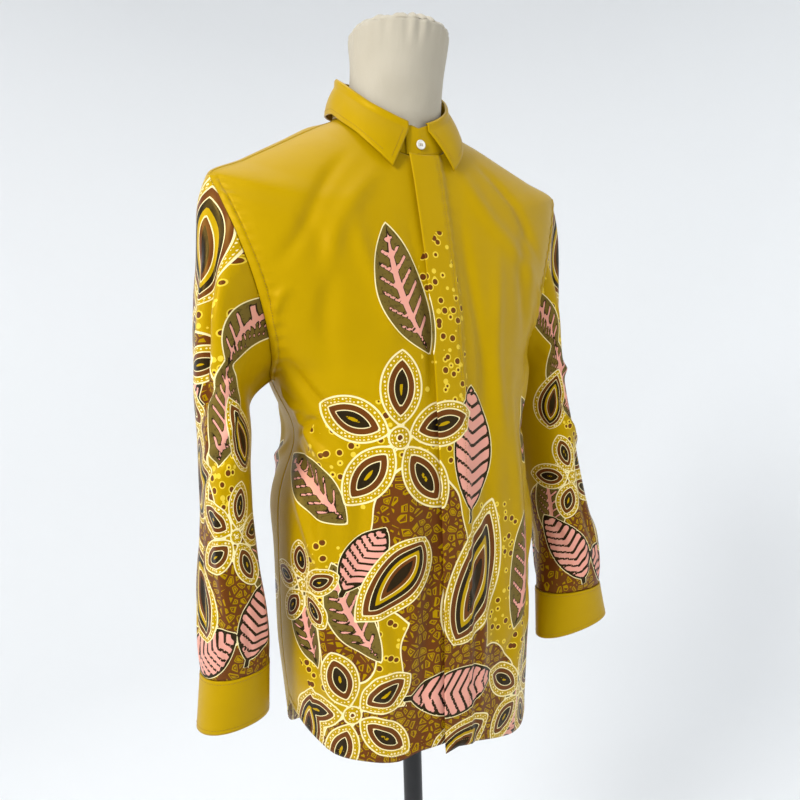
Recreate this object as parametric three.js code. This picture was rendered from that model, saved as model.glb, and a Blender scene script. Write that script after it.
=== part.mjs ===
// A long-sleeved batik shirt on a limbless dress form with a round base.
// Millimetres. +Z up, -Y the wearer's front, -X the wearer's right.
// The origin is the centre of the base, on the floor; the pole stands on the Z axis.
import * as THREE from 'three';

/* ---------------------------------------------------------------- driving dimensions */

const CLOTH = 1.2;               // wall of the body and sleeve cloth
const FUSED_CLOTH = 1.6;         // collar, stand and cuffs, two layers fused
const SEAM_GAP = 0.35;           // clear between two pieces sewn together
const SLEEVE_GAP = 0.6;          // clear between a sleeve and its armhole
const FLY_REACH = 17.5;          // each front crosses the centre line by this
const FLY_STITCH = 17.5;         // the fly's stitch line, on the wearer's left
const FLY_RISE = 5.6;            // the fly's outer face over the right front
const FLY_BLEND = 12;            // width over which the rise dies away
const UNDERLAY_REACH = 14;       // the buttonhole strip stays this far over the centre
const UNDERLAY_RISE = 1.6;       // its outer face over the right front
const UNDERLAY_TOP_LEVEL = 10.8;
const BUTTON_DIAMETER = 11.3;
const BUTTON_THICK = 2;
const FLY_BUTTONS = 7;
const FLY_BUTTON_PITCH = 85;
const LOWEST_FLY_BUTTON = 840;
const COLLAR_BUTTON_HEIGHT = 1420;
const CUFF_TOP = 843;
const CUFF_BUTTON_HEIGHT = 812;
const STAND_LAP = 2.3;           // the stand's right end lies this far behind its left end
const COLLAR_FRONT_ANGLE = 10;   // where the collar's front edges leave the stand
const POLE_DIAMETER = 25;
const POLE_SOCKET_DIAMETER = 44;
const POLE_SOCKET_HEIGHT = 46;
const BASE_DIAMETER = 380;
const BASE_HEIGHT = 9;
const BASE_CROWN = 5;            // rise of the base towards its middle
const FORM_BOTTOM = 800;
const NECK_RADIUS = 56;
const NECK_TILT = 0.21;          // how far the neck leans forward per millimetre of height
const NECK_ROOT = { y: 6, z: 1440 };
const NECK_TOP = 1549;
const NECK_CAP_RISE = 15;

const RIGHT = -1;
const LEFT = 1;
const ARMPIT_LEVEL = 6;
const SHOULDER_LEVEL = 9;
const NECK_LEVEL = 11;
const YOKE_LEVEL = 8.5;
const HEM_ROW_HEIGHTS = [680, 780];   // heights of levels 0 and 1

/* ---------------------------------------------------------------- tables */

// Sections of a front. z: heights at the centre line and at the edge; x and y of the edge,
// which is the side seam to level 6, the armhole to 9 and the shoulder seam to 11;
// wrap: how far round its oval the row reaches, in degrees.
const FRONT_COLUMNS = ['level', 'zCentre', 'zEdge', 'xEdge', 'yEdge', 'yCentre', 'wrap'];
const FRONT_ROWS_BELOW = [
  [0, 680, 680, 158, 0, -111, 90],
  [1, 780, 780, 166, 0, -111, 90],
  [2, 860, 860, 171, 0, -114, 90],
  [3, 940, 940, 170, 0, -115, 90],
  [4, 1020, 1020, 166, 0, -114, 90],
  [5, 1100, 1100, 162, 0, -110, 90],
  [6, 1160, 1160, 170, 0, -106, 90],
];
const RIGHT_ARMHOLE_ROWS = [
  [6.5, 1192, 1190, 178, -38, -103, 76],
  [7, 1228, 1225, 187, -54, -100, 69],
  [7.5, 1262, 1270, 199, -60, -95, 66],
  [8, 1295, 1315, 212, -53, -89, 66],
  [8.5, 1322, 1353, 223, -37, -83, 68],
];
const LEFT_ARMHOLE_ROWS = [
  [6.5, 1192, 1190, 173, -28, -103, 76],
  [7, 1228, 1225, 180, -42, -100, 69],
  [7.5, 1262, 1270, 189, -46, -95, 66],
  [8, 1295, 1315, 203, -42, -89, 66],
  [8.5, 1322, 1353, 218, -30, -83, 68],
];
const FRONT_ROWS_ABOVE = [
  [9, 1343, 1379, 228, -18, -78, 70],
  [9.5, 1360, 1398, 190, -14, -74, 66],
  [10, 1377, 1418, 151, -9, -70, 64],
  [10.5, 1392, 1438, 112, -4, -66, 64],
  [11, 1406, 1457, 72, 4, -62, 80],
];
const BACK_ROWS = [
  [0, 680, 680, 158, 0, 112, 90],
  [1, 780, 780, 166, 0, 114, 90],
  [2, 860, 860, 171, 0, 115, 90],
  [3, 940, 940, 170, 0, 113, 90],
  [4, 1020, 1020, 166, 0, 108, 90],
  [5, 1100, 1100, 162, 0, 104, 90],
  [6, 1160, 1160, 170, 0, 105, 90],
  [6.5, 1192, 1190, 176, 36, 107, 76],
  [7, 1230, 1225, 185, 58, 109, 69],
  [7.5, 1270, 1270, 197, 66, 109, 66],
  [8, 1312, 1315, 210, 62, 107, 66],
  [8.5, 1352, 1353, 222, 44, 103, 70],
];
const SQUARENESS = 2.3;          // of the body's ovals; 2 is an ellipse

// Height of the hem across each panel; across: 0 at the centre line, 1 at the side seam.
const HEM_COLUMNS = ['across', 'height'];
const RIGHT_HEM_ROWS = [[0, 728], [0.15, 727], [0.27, 720], [0.45, 725], [0.61, 731],
  [0.74, 745], [0.88, 760], [1, 772]];
const LEFT_HEM_ROWS = [[0, 722], [0.11, 714], [0.28, 702], [0.38, 696], [0.5, 693],
  [0.6, 696], [0.75, 709], [0.88, 730], [1, 750]];
const BACK_HEM_ROWS = [[0, 690], [0.3, 690], [0.5, 695], [0.7, 709], [0.85, 732]];

// The largest folds of the body: a hollow (in) pressed into one side of it.
// Columns: side, y, z, reachY, reachZ, depth.
const BODY_FOLDS = [
  [RIGHT, 5, 1096, 70, 44, 19],
  [RIGHT, 62, 1012, 45, 40, -9],
  [LEFT, 20, 1090, 60, 60, 9],
  [LEFT, 70, 990, 45, 55, -6],
];

// The back neckline, the stand's top edge and the collar's outer edge, by the angle from
// the centre front.
const LOOP_COLUMNS = ['angle', 'x', 'y', 'z'];
const BACK_NECKLINE_ROWS = [[90, 72, 4, 1457], [110, 68, 29, 1463], [135, 52, 52, 1468],
  [160, 26, 66, 1470], [180, 0, 69, 1470]];
const STAND_TOP_ROWS = [[0, 0, -57, 1439], [25, 29, -50, 1451], [50, 52, -33, 1468],
  [75, 63, -8, 1488], [90, 65, 10, 1499], [110, 60, 31, 1508], [135, 45, 51, 1512],
  [160, 22, 61, 1514], [180, 0, 64, 1514]];
const COLLAR_EDGE_ROWS = [[10, 40, -69, 1393], [25, 52, -63, 1406], [50, 69, -43, 1430],
  [75, 78, -11, 1452], [90, 79, 8, 1463], [110, 76, 34, 1468], [135, 59, 61, 1471],
  [160, 30, 77, 1472], [180, 0, 81, 1472]];
// The collar's turn over the stand, as steps out from and up from the stand's top edge.
const TURN_COLUMNS = ['out', 'up'];
const COLLAR_TURN_ROWS = [[-1.4, 2.3], [1.0, 2.3], [2.9, 0.6], [3.3, -6]];

// Sections of a sleeve below its head: centre, half widths across and fore and aft, turn.
const SLEEVE_COLUMNS = ['z', 'xCentre', 'yCentre', 'halfAcross', 'halfDeep', 'turn'];
const RIGHT_SLEEVE_ROWS = [
  [843, 232, -15, 38, 33, -12],
  [870, 232, -15, 39, 38, -6],
  [910, 232, -14, 37, 46, 0],
  [950, 232, -12, 33, 50, 4],
  [990, 231, -10, 30, 54, 8],
  [1030, 230, -9, 28, 56, 10],
  [1070, 229, -8, 28, 59, 12],
  [1110, 227, -8, 29, 63, 13],
  [1150, 228, -8, 29, 65, 15],
  [1200, 224, -8, 30, 68, 15],
  [1250, 221, -8, 29, 70, 15],
  [1300, 219, -8, 26, 66, 15],
  [1350, 217, -6, 24, 56, 12],
  [1390, 215, 0, 22, 40, 8],
];
const LEFT_SLEEVE_ROWS = [
  [843, 240, -36, 48, 29, -6],
  [870, 244, -32, 47, 36, -6],
  [910, 246, -24, 44, 43, -6],
  [950, 239, -14, 40, 49, -4],
  [990, 232, -6, 36, 55, 0],
  [1030, 226, 2, 33, 59, 4],
  [1070, 220, 8, 31, 62, 8],
  [1110, 213, 14, 30, 65, 10],
  [1150, 207, 12, 29, 64, 10],
  [1200, 204, 10, 27, 63, 8],
  [1250, 203, 8, 25, 60, 8],
  [1300, 204, 6, 24, 56, 8],
  [1350, 208, 3, 22, 50, 8],
  [1390, 212, 2, 21, 38, 6],
];
const SLEEVE_SQUARENESS = 2.2;
// How far below the armhole each part of a sleeve takes to reach its own section.
const SETTLE_COLUMNS = ['angle', 'drop'];
const SETTLE_ROWS = [[0, 45], [90, 85], [180, 30], [270, 85], [360, 45]];
const SETTLE_SPEED = 2.2;

// The deep folds of each sleeve: a valley down it. angle: its place round the sleeve,
// 0 outwards and 90 forwards; it fades in and out over fade.
// Columns: side, angleTop, angleFoot, zTop, zFoot, width, depth.
const SLEEVE_VALLEYS = [
  [RIGHT, 52, 66, 1395, 1150, 17, 17],
  [LEFT, 64, 58, 1330, 1120, 17, 12],
];
const VALLEY_FADE = 55;

// Cuffs: the same columns as a sleeve, with lean: the height gained per millimetre outwards.
const CUFF_COLUMNS = ['z', 'xCentre', 'yCentre', 'halfAcross', 'halfDeep', 'turn', 'lean'];
const RIGHT_CUFF_ROWS = [[782, 237, -14, 42, 30, -13, 0], [843, 232, -15, 39, 33, -12, 0]];
const LEFT_CUFF_ROWS = [[788, 241, -42, 56, 26, -6, 0.16], [843, 240, -36, 50, 30, -6, 0]];

// The form: half width, front and back of each section, and its squareness.
const FORM_COLUMNS = ['z', 'half', 'front', 'back', 'square'];
const FORM_ROWS = [
  [FORM_BOTTOM, 148, -92, 92, 2.3],
  [860, 154, -98, 99, 2.3],
  [940, 150, -98, 97, 2.3],
  [1020, 142, -95, 90, 2.3],
  [1090, 134, -92, 86, 2.3],
  [1160, 148, -93, 92, 2.3],
  [1230, 164, -88, 97, 2.3],
  [1290, 178, -78, 97, 2.2],
  [1335, 189, -66, 94, 2.1],
  [1365, 194, -56, 88, 2.0],
  [1382, 194, -50, 82, 1.85],
  [1394, 188, -47, 77, 1.65],
  [1406, 171, -46, 72, 1.5],
  [1418, 147, -47, 68, 1.4],
  [1430, 119, -48, 64, 1.4],
  [1441, 90, -49, 60, 1.5],
  [1449, 70, -50, 58, 1.7],
];

/* ---------------------------------------------------------------- helpers */

const radians = THREE.MathUtils.degToRad;
const point = (x, y, z) => new THREE.Vector3(x, y, z);

function makeTable(columns, rows) {
  return Object.fromEntries(columns.map((name, k) => [name, rows.map((row) => row[k])]));
}

// Smooth curve through one column of a table against another; it never overshoots a row.
function read(table, keyName, name, at) {
  const keys = table[keyName];
  const values = table[name];
  const last = keys.length - 1;
  const key = THREE.MathUtils.clamp(at, keys[0], keys[last]);
  let i = 0;
  while (i < last - 1 && key > keys[i + 1]) i += 1;
  const slope = (k) => (values[k + 1] - values[k]) / (keys[k + 1] - keys[k]);
  const tangent = (k) => {
    if (k === 0) return slope(0);
    if (k === last) return slope(last - 1);
    if (slope(k - 1) * slope(k) <= 0) return 0;
    const before = keys[k] - keys[k - 1];
    const after = keys[k + 1] - keys[k];
    return (before + after) / (after / slope(k - 1) + before / slope(k));
  };
  const width = keys[i + 1] - keys[i];
  const t = (key - keys[i]) / width;
  return (2 * t ** 3 - 3 * t ** 2 + 1) * values[i]
    + (t ** 3 - 2 * t ** 2 + t) * width * tangent(i)
    + (3 * t ** 2 - 2 * t ** 3) * values[i + 1]
    + (t ** 3 - t ** 2) * width * tangent(i + 1);
}

const signedPower = (value, power) => Math.sign(value) * Math.abs(value) ** power;
const steps = (from, to, count) => Array.from({ length: count + 1 },
  (_, k) => from + (to - from) * k / count);
const bell = (distance) => Math.exp(-distance * distance);

function indexedMesh(positions, triangles) {
  const geometry = new THREE.BufferGeometry();
  geometry.setAttribute('position', new THREE.Float32BufferAttribute(positions, 3));
  geometry.setIndex(triangles);
  return geometry;
}

// A wall of the given thickness inside a grid of outer points: grid[row][column] holds
// { at, out }, the outer point and the outward direction. A tube's columns run round.
function wallFromGrid(grid, thickness, isTube = false) {
  const rows = grid.length;
  const columns = grid[0].length;
  const positions = [];
  for (const inset of [0, thickness]) {
    for (const row of grid) {
      for (const { at, out } of row) {
        positions.push(...at.clone().addScaledVector(out, -inset).toArray());
      }
    }
  }
  const inner = rows * columns;
  const outerId = (r, c) => r * columns + (c % columns);
  const triangles = [];
  const quad = (a, b, c, d) => triangles.push(a, b, c, a, c, d);
  const spans = isTube ? columns : columns - 1;
  for (let r = 0; r < rows - 1; r += 1) {
    for (let c = 0; c < spans; c += 1) {
      const corners = [outerId(r, c), outerId(r, c + 1), outerId(r + 1, c + 1), outerId(r + 1, c)];
      quad(...corners);
      // both faces of the wall fold along the same diagonal
      const [first, ...rest] = corners.map((id) => id + inner);
      quad(first, ...rest.reverse());
    }
  }
  const rim = (a, b) => quad(b, a, a + inner, b + inner);
  for (let c = 0; c < spans; c += 1) {
    rim(outerId(0, c), outerId(0, c + 1));
    rim(outerId(rows - 1, c + 1), outerId(rows - 1, c));
  }
  if (!isTube) {
    for (let r = 0; r < rows - 1; r += 1) {
      rim(outerId(r + 1, 0), outerId(r, 0));
      rim(outerId(r, columns - 1), outerId(r + 1, columns - 1));
    }
  }
  return indexedMesh(positions, triangles);
}

// The outward direction of a surface f(a, b), with b running upwards and a from the
// wearer's right, seen from the front, to the left.
const PROBE = 1e-3;
function outward(f, a, b, limits) {
  const stepA = a + PROBE > limits.a ? -PROBE : PROBE;
  const stepB = b + PROBE > limits.b ? -PROBE : PROBE;
  const here = f(a, b);
  const alongA = f(a + stepA, b).sub(here).multiplyScalar(Math.sign(stepA));
  const alongB = f(a, b + stepB).sub(here).multiplyScalar(Math.sign(stepB));
  return alongA.cross(alongB).normalize();
}

/* ---------------------------------------------------------------- body of the shirt */

const FRONTS = {
  [RIGHT]: makeTable(FRONT_COLUMNS, [...FRONT_ROWS_BELOW, ...RIGHT_ARMHOLE_ROWS,
    ...FRONT_ROWS_ABOVE]),
  [LEFT]: makeTable(FRONT_COLUMNS, [...FRONT_ROWS_BELOW, ...LEFT_ARMHOLE_ROWS,
    ...FRONT_ROWS_ABOVE]),
};
const BACK = makeTable(FRONT_COLUMNS, BACK_ROWS);
const FRONT_HEMS = {
  [RIGHT]: makeTable(HEM_COLUMNS, RIGHT_HEM_ROWS),
  [LEFT]: makeTable(HEM_COLUMNS, LEFT_HEM_ROWS),
};
const BACK_HEMS = {
  [RIGHT]: makeTable(HEM_COLUMNS, [...BACK_HEM_ROWS, RIGHT_HEM_ROWS.at(-1)]),
  [LEFT]: makeTable(HEM_COLUMNS, [...BACK_HEM_ROWS, LEFT_HEM_ROWS.at(-1)]),
};

function pressFolds(p) {
  for (const [side, y, z, reachY, reachZ, depth] of BODY_FOLDS) {
    if (p.x * side > 0) {
      const strength = bell((p.y - y) / reachY) * bell((p.z - z) / reachZ);
      const sideways = Math.min(1, Math.abs(p.x) / read(BACK, 'level', 'xEdge', 4)) ** 2;
      p.x -= side * depth * strength * sideways;
    }
  }
  return p;
}

// A point of a body panel: across from 0 at the centre line to 1 at the edge.
function panelPoint(table, side, across, level) {
  const get = (name) => read(table, 'level', name, level);
  const end = radians(get('wrap'));
  const angle = end * across;
  const power = 2 / SQUARENESS;
  const forward = (a) => 1 - Math.max(Math.cos(a), 0) ** power;
  const x = get('xEdge') * signedPower(Math.sin(angle) / Math.sin(end), power);
  const y = get('yCentre') + (get('yEdge') - get('yCentre')) * forward(angle) / forward(end);
  const z = get('zCentre')
    + (get('zEdge') - get('zCentre')) * (Math.sin(angle) / Math.sin(end)) ** 2;
  return pressFolds(point(side * x, y, z));
}

// The value of across at a distance x from the centre line.
function acrossAt(table, x, level) {
  const end = radians(read(table, 'level', 'wrap', level));
  const share = x / read(table, 'level', 'xEdge', level);
  return Math.asin(Math.sin(end) * signedPower(share, SQUARENESS / 2)) / end;
}

const levelOfHeight = (z) => (z - HEM_ROW_HEIGHTS[0]) / (HEM_ROW_HEIGHTS[1] - HEM_ROW_HEIGHTS[0]);

// Levels of the rows of a panel: rise 0 at the hem, 1 at the armpit, then fixed levels.
const ROWS_BELOW_ARMPIT = 13;
const ARMHOLE_STEPS = 8;
const SHOULDER_LEVELS = [9.25, 9.5, 10, 10.5, 11];
function rowLevel(row, hemTable, across, upperLevels) {
  if (row >= ROWS_BELOW_ARMPIT) return upperLevels[row - ROWS_BELOW_ARMPIT];
  const hem = levelOfHeight(read(hemTable, 'across', 'height', Math.min(Math.abs(across), 1)));
  return hem + (ARMPIT_LEVEL - hem) * row / ROWS_BELOW_ARMPIT;
}
const FRONT_UPPER = [...steps(ARMPIT_LEVEL, SHOULDER_LEVEL, ARMHOLE_STEPS), ...SHOULDER_LEVELS];
const BACK_UPPER = steps(ARMPIT_LEVEL, YOKE_LEVEL, ARMHOLE_STEPS);

// Rise of the left front's fly over the right front, by the distance to the wearer's left.
function flyRise(x) {
  const fall = THREE.MathUtils.smoothstep(x, FLY_STITCH, FLY_STITCH + FLY_BLEND);
  return FLY_RISE * (1 - fall);
}

// One point of a front, where x is measured from the centre line towards its own side.
function frontVertex(side, x, across, level, rise) {
  const table = FRONTS[side];
  const u = across ?? acrossAt(table, x, level);
  const surface = (a, b) => panelPoint(table, side, a, b);
  const out = outward(surface, u, level, { a: 1, b: NECK_LEVEL }).multiplyScalar(side);
  const at = surface(u, level).addScaledVector(out, rise);
  return { at, out };
}

const FRONT_X_COLUMNS = [-FLY_REACH, 0, FLY_STITCH, FLY_STITCH + FLY_BLEND];
const FRONT_SIDE_SPANS = 8;
function front(side) {
  const rows = ROWS_BELOW_ARMPIT + FRONT_UPPER.length;
  const table = FRONTS[side];
  const isOver = side === LEFT;
  const grid = [];
  for (let row = 0; row < rows; row += 1) {
    const line = [];
    const addVertex = (acrossOf, x) => {
      const guess = rowLevel(row, FRONT_HEMS[side], acrossOf(1), FRONT_UPPER);
      const level = rowLevel(row, FRONT_HEMS[side], acrossOf(guess), FRONT_UPPER);
      const u = acrossOf(level);
      const rise = isOver ? flyRise(x ?? Infinity) : 0;
      const vertex = frontVertex(side, x, u, level, rise);
      if (u === 1 && level <= ARMPIT_LEVEL) vertex.at.y -= SEAM_GAP / 2;
      line.push(vertex);
    };
    for (const x of FRONT_X_COLUMNS) addVertex((level) => acrossAt(table, x, level), x);
    const start = FRONT_X_COLUMNS.at(-1);
    for (const share of steps(0, 1, FRONT_SIDE_SPANS).slice(1)) {
      addVertex((level) => {
        const first = acrossAt(table, start, level);
        return share === 1 ? 1 : first + (1 - first) * share;
      });
    }
    grid.push(side === RIGHT ? line.reverse() : line);
  }
  return wallFromGrid(grid, CLOTH);
}

// The strip of buttonholes hidden under the fly.
function flyUnderlay() {
  const grid = [];
  for (const row of steps(0, 1, ROWS_BELOW_ARMPIT + FRONT_UPPER.length - 1)) {
    const hem = levelOfHeight(RIGHT_HEM_ROWS[0][1]) + 0.12;
    const level = hem + (UNDERLAY_TOP_LEVEL - hem) * row;
    grid.push([-UNDERLAY_REACH, 0, UNDERLAY_REACH].map(
      (x) => frontVertex(LEFT, x, undefined, level, UNDERLAY_RISE)));
  }
  return wallFromGrid(grid, CLOTH);
}

// Places of the back's columns, by x at the yoke seam: to the neck, then to the armhole.
const SHOULDER_SHARE = 222 / 228;
const NECK_COLUMN_X = [0, 17, 34, 51];
function backColumns() {
  const shoulder = [...SHOULDER_LEVELS].reverse().concat(SHOULDER_LEVEL)
    .map((level) => read(FRONTS[RIGHT], 'level', 'xEdge', level) * SHOULDER_SHARE);
  return [...NECK_COLUMN_X, ...shoulder].map(
    (x) => Math.min(1, acrossAt(BACK, x, YOKE_LEVEL)));
}

function backVertex(side, across, level) {
  const surface = (a, b) => panelPoint(BACK, side, a, b);
  const out = outward(surface, across, level, { a: 1, b: YOKE_LEVEL }).multiplyScalar(-side);
  return { at: surface(across, level), out };
}

function back() {
  const columns = backColumns();
  const rows = ROWS_BELOW_ARMPIT + BACK_UPPER.length;
  const grid = [];
  for (let row = 0; row < rows; row += 1) {
    const half = (side) => columns.map((across) => {
      const isSideSeam = across > 0.999;
      const level = rowLevel(row, BACK_HEMS[side], across, BACK_UPPER);
      const vertex = backVertex(side, isSideSeam ? 1 : across, level);
      if (isSideSeam && level <= ARMPIT_LEVEL) vertex.at.y += SEAM_GAP / 2;
      return vertex;
    });
    grid.push([...half(LEFT).reverse(), ...half(RIGHT).slice(1)]);
  }
  return wallFromGrid(grid, CLOTH);
}

/* ---------------------------------------------------------------- yoke */

const BACK_NECKLINE = makeTable(LOOP_COLUMNS, BACK_NECKLINE_ROWS);
const STAND_TOP = makeTable(LOOP_COLUMNS, STAND_TOP_ROWS);
const COLLAR_EDGE = makeTable(LOOP_COLUMNS, COLLAR_EDGE_ROWS);
function loopPoint(table, angle) {
  const at = Math.abs(angle);
  const side = Math.sign(angle) || 1;
  return point(side * read(table, 'angle', 'x', at), read(table, 'angle', 'y', at),
    read(table, 'angle', 'z', at));
}

// The yoke's front edge, by columns: the neckline behind the shoulder seams, then the seams.
const NECK_SEAM_COLUMN = NECK_COLUMN_X.length;
const YOKE_SHIFT = point(0, 0.8, 0.4);   // keeps the yoke clear of the seams round it
function yokeFrontEdge(side, column) {
  if (column < NECK_SEAM_COLUMN) {
    const share = column / NECK_SEAM_COLUMN;
    return loopPoint(BACK_NECKLINE, side * (180 - 90 * share)).add(YOKE_SHIFT);
  }
  const levels = [...SHOULDER_LEVELS].reverse().concat(SHOULDER_LEVEL);
  const edge = panelPoint(FRONTS[side], side, 1, levels[column - NECK_SEAM_COLUMN]);
  return edge.add(YOKE_SHIFT);
}

// A yoke column runs over the shoulder as one cubic curve: it leaves the front seam along
// one direction and comes down onto the back seam along another.
const NECK_LEAVING = { y: 0.6, z: -0.8 };
const SEAM_LEAVING = { y: 0.92, z: 0.4 };
const BACK_ARRIVING = { y: -0.3, z: 0.95 };
const YOKE_REACH = 0.38;
function yokePoint(side, column, share) {
  const columns = backColumns();
  const start = yokeFrontEdge(side, column);
  const end = panelPoint(BACK, side, Math.min(1, columns[column]), YOKE_LEVEL)
    .add(point(0, 0, 2 * SEAM_GAP));
  const seam = THREE.MathUtils.smoothstep(column, NECK_SEAM_COLUMN - 1.5, NECK_SEAM_COLUMN + 1);
  const reach = start.distanceTo(end) * YOKE_REACH;
  const leaving = point(0, THREE.MathUtils.lerp(NECK_LEAVING.y, SEAM_LEAVING.y, seam),
    THREE.MathUtils.lerp(NECK_LEAVING.z, SEAM_LEAVING.z, seam));
  const arriving = point(0, BACK_ARRIVING.y, BACK_ARRIVING.z);
  const curve = new THREE.CubicBezierCurve3(start,
    start.clone().addScaledVector(leaving.normalize(), reach),
    end.clone().addScaledVector(arriving.normalize(), reach), end);
  return curve.getPoint(share);
}

const YOKE_STEPS = 5;
function yoke() {
  const columns = backColumns().length;
  const line = [];
  for (let c = columns - 1; c > 0; c -= 1) line.push([LEFT, c]);
  for (let c = 0; c < columns; c += 1) line.push([RIGHT, c]);
  const places = steps(1, 0, YOKE_STEPS).map(
    (share) => line.map(([side, c]) => yokePoint(side, c, share)));
  const grid = places.map((row, r) => row.map((at, c) => {
    const alongRow = row[Math.min(c + 1, row.length - 1)].clone()
      .sub(row[Math.max(c - 1, 0)]);
    const alongColumn = places[Math.min(r + 1, places.length - 1)][c].clone()
      .sub(places[Math.max(r - 1, 0)][c]);
    return { at, out: alongRow.cross(alongColumn).normalize() };
  }));
  return wallFromGrid(grid, CLOTH);
}

/* ---------------------------------------------------------------- sleeves and cuffs */

// The armhole, as the edge points of the front, the back and the yoke in turn, each with
// its angle round the sleeve: 0 at the top, 90 in front, 180 under the arm.
const FRONT_SEAM_ANGLE = 18;
const YOKE_SEAM_ANGLE = 325;
function armholePoints(side) {
  const last = backColumns().length - 1;
  const list = [];
  steps(SHOULDER_LEVEL, ARMPIT_LEVEL, ARMHOLE_STEPS).forEach((level, k) => {
    const angle = FRONT_SEAM_ANGLE + (180 - FRONT_SEAM_ANGLE) * k / ARMHOLE_STEPS;
    list.push({ angle, at: panelPoint(FRONTS[side], side, 1, level) });
  });
  BACK_UPPER.slice(1).forEach((level, k) => {
    const angle = 180 + (YOKE_SEAM_ANGLE - 180) * (k + 1) / ARMHOLE_STEPS;
    list.push({ angle, at: panelPoint(BACK, side, 1, level) });
  });
  const yokeTurn = 360 - YOKE_SEAM_ANGLE + FRONT_SEAM_ANGLE;
  steps(1, 0, YOKE_STEPS).slice(1, -1).forEach((share) => {
    const angle = (YOKE_SEAM_ANGLE + yokeTurn * (1 - share)) % 360;
    list.push({ angle, at: yokePoint(side, last, share) });
  });
  return list;
}

const SLEEVES = {
  [RIGHT]: makeTable(SLEEVE_COLUMNS, RIGHT_SLEEVE_ROWS),
  [LEFT]: makeTable(SLEEVE_COLUMNS, LEFT_SLEEVE_ROWS),
};
const CUFFS = {
  [RIGHT]: makeTable(CUFF_COLUMNS, RIGHT_CUFF_ROWS),
  [LEFT]: makeTable(CUFF_COLUMNS, LEFT_CUFF_ROWS),
};
const SETTLE = makeTable(SETTLE_COLUMNS, SETTLE_ROWS);

function valleyDepth(side, angle, z) {
  let depth = 0;
  for (const [whose, angleTop, angleFoot, zTop, zFoot, width, most] of SLEEVE_VALLEYS) {
    if (whose === side) {
      const share = THREE.MathUtils.clamp((zTop - z) / (zTop - zFoot), 0, 1);
      const centre = THREE.MathUtils.lerp(angleTop, angleFoot, share);
      const fade = THREE.MathUtils.smoothstep(z, zFoot - VALLEY_FADE, zFoot + VALLEY_FADE);
      depth += most * fade * bell((angle - centre) / width);
    }
  }
  return depth;
}

// A point of a tube's section at a height; outer and forward are its own axes.
function ovalPoint(table, side, angle, z, inset) {
  const get = (name) => read(table, 'z', name, z);
  const turn = radians(get('turn'));
  const power = 2 / SLEEVE_SQUARENESS;
  const across = (get('halfAcross') - inset) * signedPower(Math.cos(radians(angle)), power);
  const forward = (get('halfDeep') - inset) * signedPower(Math.sin(radians(angle)), power);
  const x = get('xCentre') + across * Math.cos(turn) + forward * Math.sin(turn);
  const y = get('yCentre') + across * Math.sin(turn) - forward * Math.cos(turn);
  return point(side * x, y, z);
}

function sleevePoint(side, start, fall) {
  const z = start.at.z + (CUFF_TOP + SEAM_GAP - start.at.z) * fall;
  const drop = (start.at.z - z) / read(SETTLE, 'angle', 'drop', start.angle);
  const settled = 1 - (1 - Math.min(drop, 1)) ** SETTLE_SPEED;
  const oval = ovalPoint(SLEEVES[side], side, start.angle, z, valleyDepth(side, start.angle, z));
  return point(THREE.MathUtils.lerp(start.at.x, oval.x, settled),
    THREE.MathUtils.lerp(start.at.y, oval.y, settled), z);
}

// Directions out of a grid of points that runs round a tube, from the points themselves.
function tubeGrid(places, side) {
  const count = places[0].length;
  return places.map((row, r) => row.map((at, c) => {
    const round = row[(c + 1) % count].clone().sub(row[(c + count - 1) % count]);
    const down = places[Math.min(r + 1, places.length - 1)][c].clone()
      .sub(places[Math.max(r - 1, 0)][c]);
    return { at, out: round.cross(down).multiplyScalar(side).normalize() };
  }));
}

// Grids run from top to bottom, and the left arm's angles run the other way round: rows and
// its columns are reversed to keep the wall's faces outwards.
function tubeWall(grid, side, thickness) {
  const ordered = grid.map((row) => (side === LEFT ? [...row].reverse() : row)).reverse();
  return wallFromGrid(ordered, thickness, true);
}

const SLEEVE_FALLS = [0, 0.02, 0.06, 0.11, 0.17, 0.24, 0.31, 0.38, 0.46, 0.54, 0.62, 0.7,
  0.78, 0.86, 0.93, 1];
function sleeve(side) {
  const starts = armholePoints(side).map(({ angle, at }) => (
    { angle, at: at.add(point(side * SLEEVE_GAP, 0, 0)) }));
  const places = SLEEVE_FALLS.map((fall) => starts.map((s) => sleevePoint(side, s, fall)));
  const grid = tubeGrid(places, side);
  for (const vertex of grid[0]) {
    vertex.out.x = side * Math.min(0, side * vertex.out.x);
    vertex.out.normalize();
  }
  for (const vertex of grid.at(-1)) vertex.out.setZ(0).normalize();
  return tubeWall(grid, side, CLOTH);
}

const CUFF_SPANS = 22;
function cuffPoint(side, angle, z) {
  const at = ovalPoint(CUFFS[side], side, angle, z, 0);
  const lean = read(CUFFS[side], 'z', 'lean', z);
  at.z += lean * (side * at.x - read(CUFFS[side], 'z', 'xCentre', z));
  return at;
}

function cuff(side) {
  const foot = CUFFS[side].z[0];
  const places = steps(CUFF_TOP, foot, 3).map((z) => (
    steps(0, 360, CUFF_SPANS).slice(0, -1).map((angle) => cuffPoint(side, angle, z))));
  const grid = tubeGrid(places, side);
  for (const vertex of grid[0]) vertex.out.setZ(0).normalize();
  return tubeWall(grid, side, FUSED_CLOTH);
}

/* ---------------------------------------------------------------- collar */

// Directions out of an open grid of points, from the points themselves.
function openGrid(places) {
  return places.map((row, r) => row.map((at, c) => {
    const alongRow = row[Math.min(c + 1, row.length - 1)].clone()
      .sub(row[Math.max(c - 1, 0)]);
    const alongColumn = places[Math.min(r + 1, places.length - 1)][c].clone()
      .sub(places[Math.max(r - 1, 0)][c]);
    return { at, out: alongRow.cross(alongColumn).normalize() };
  }));
}

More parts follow.
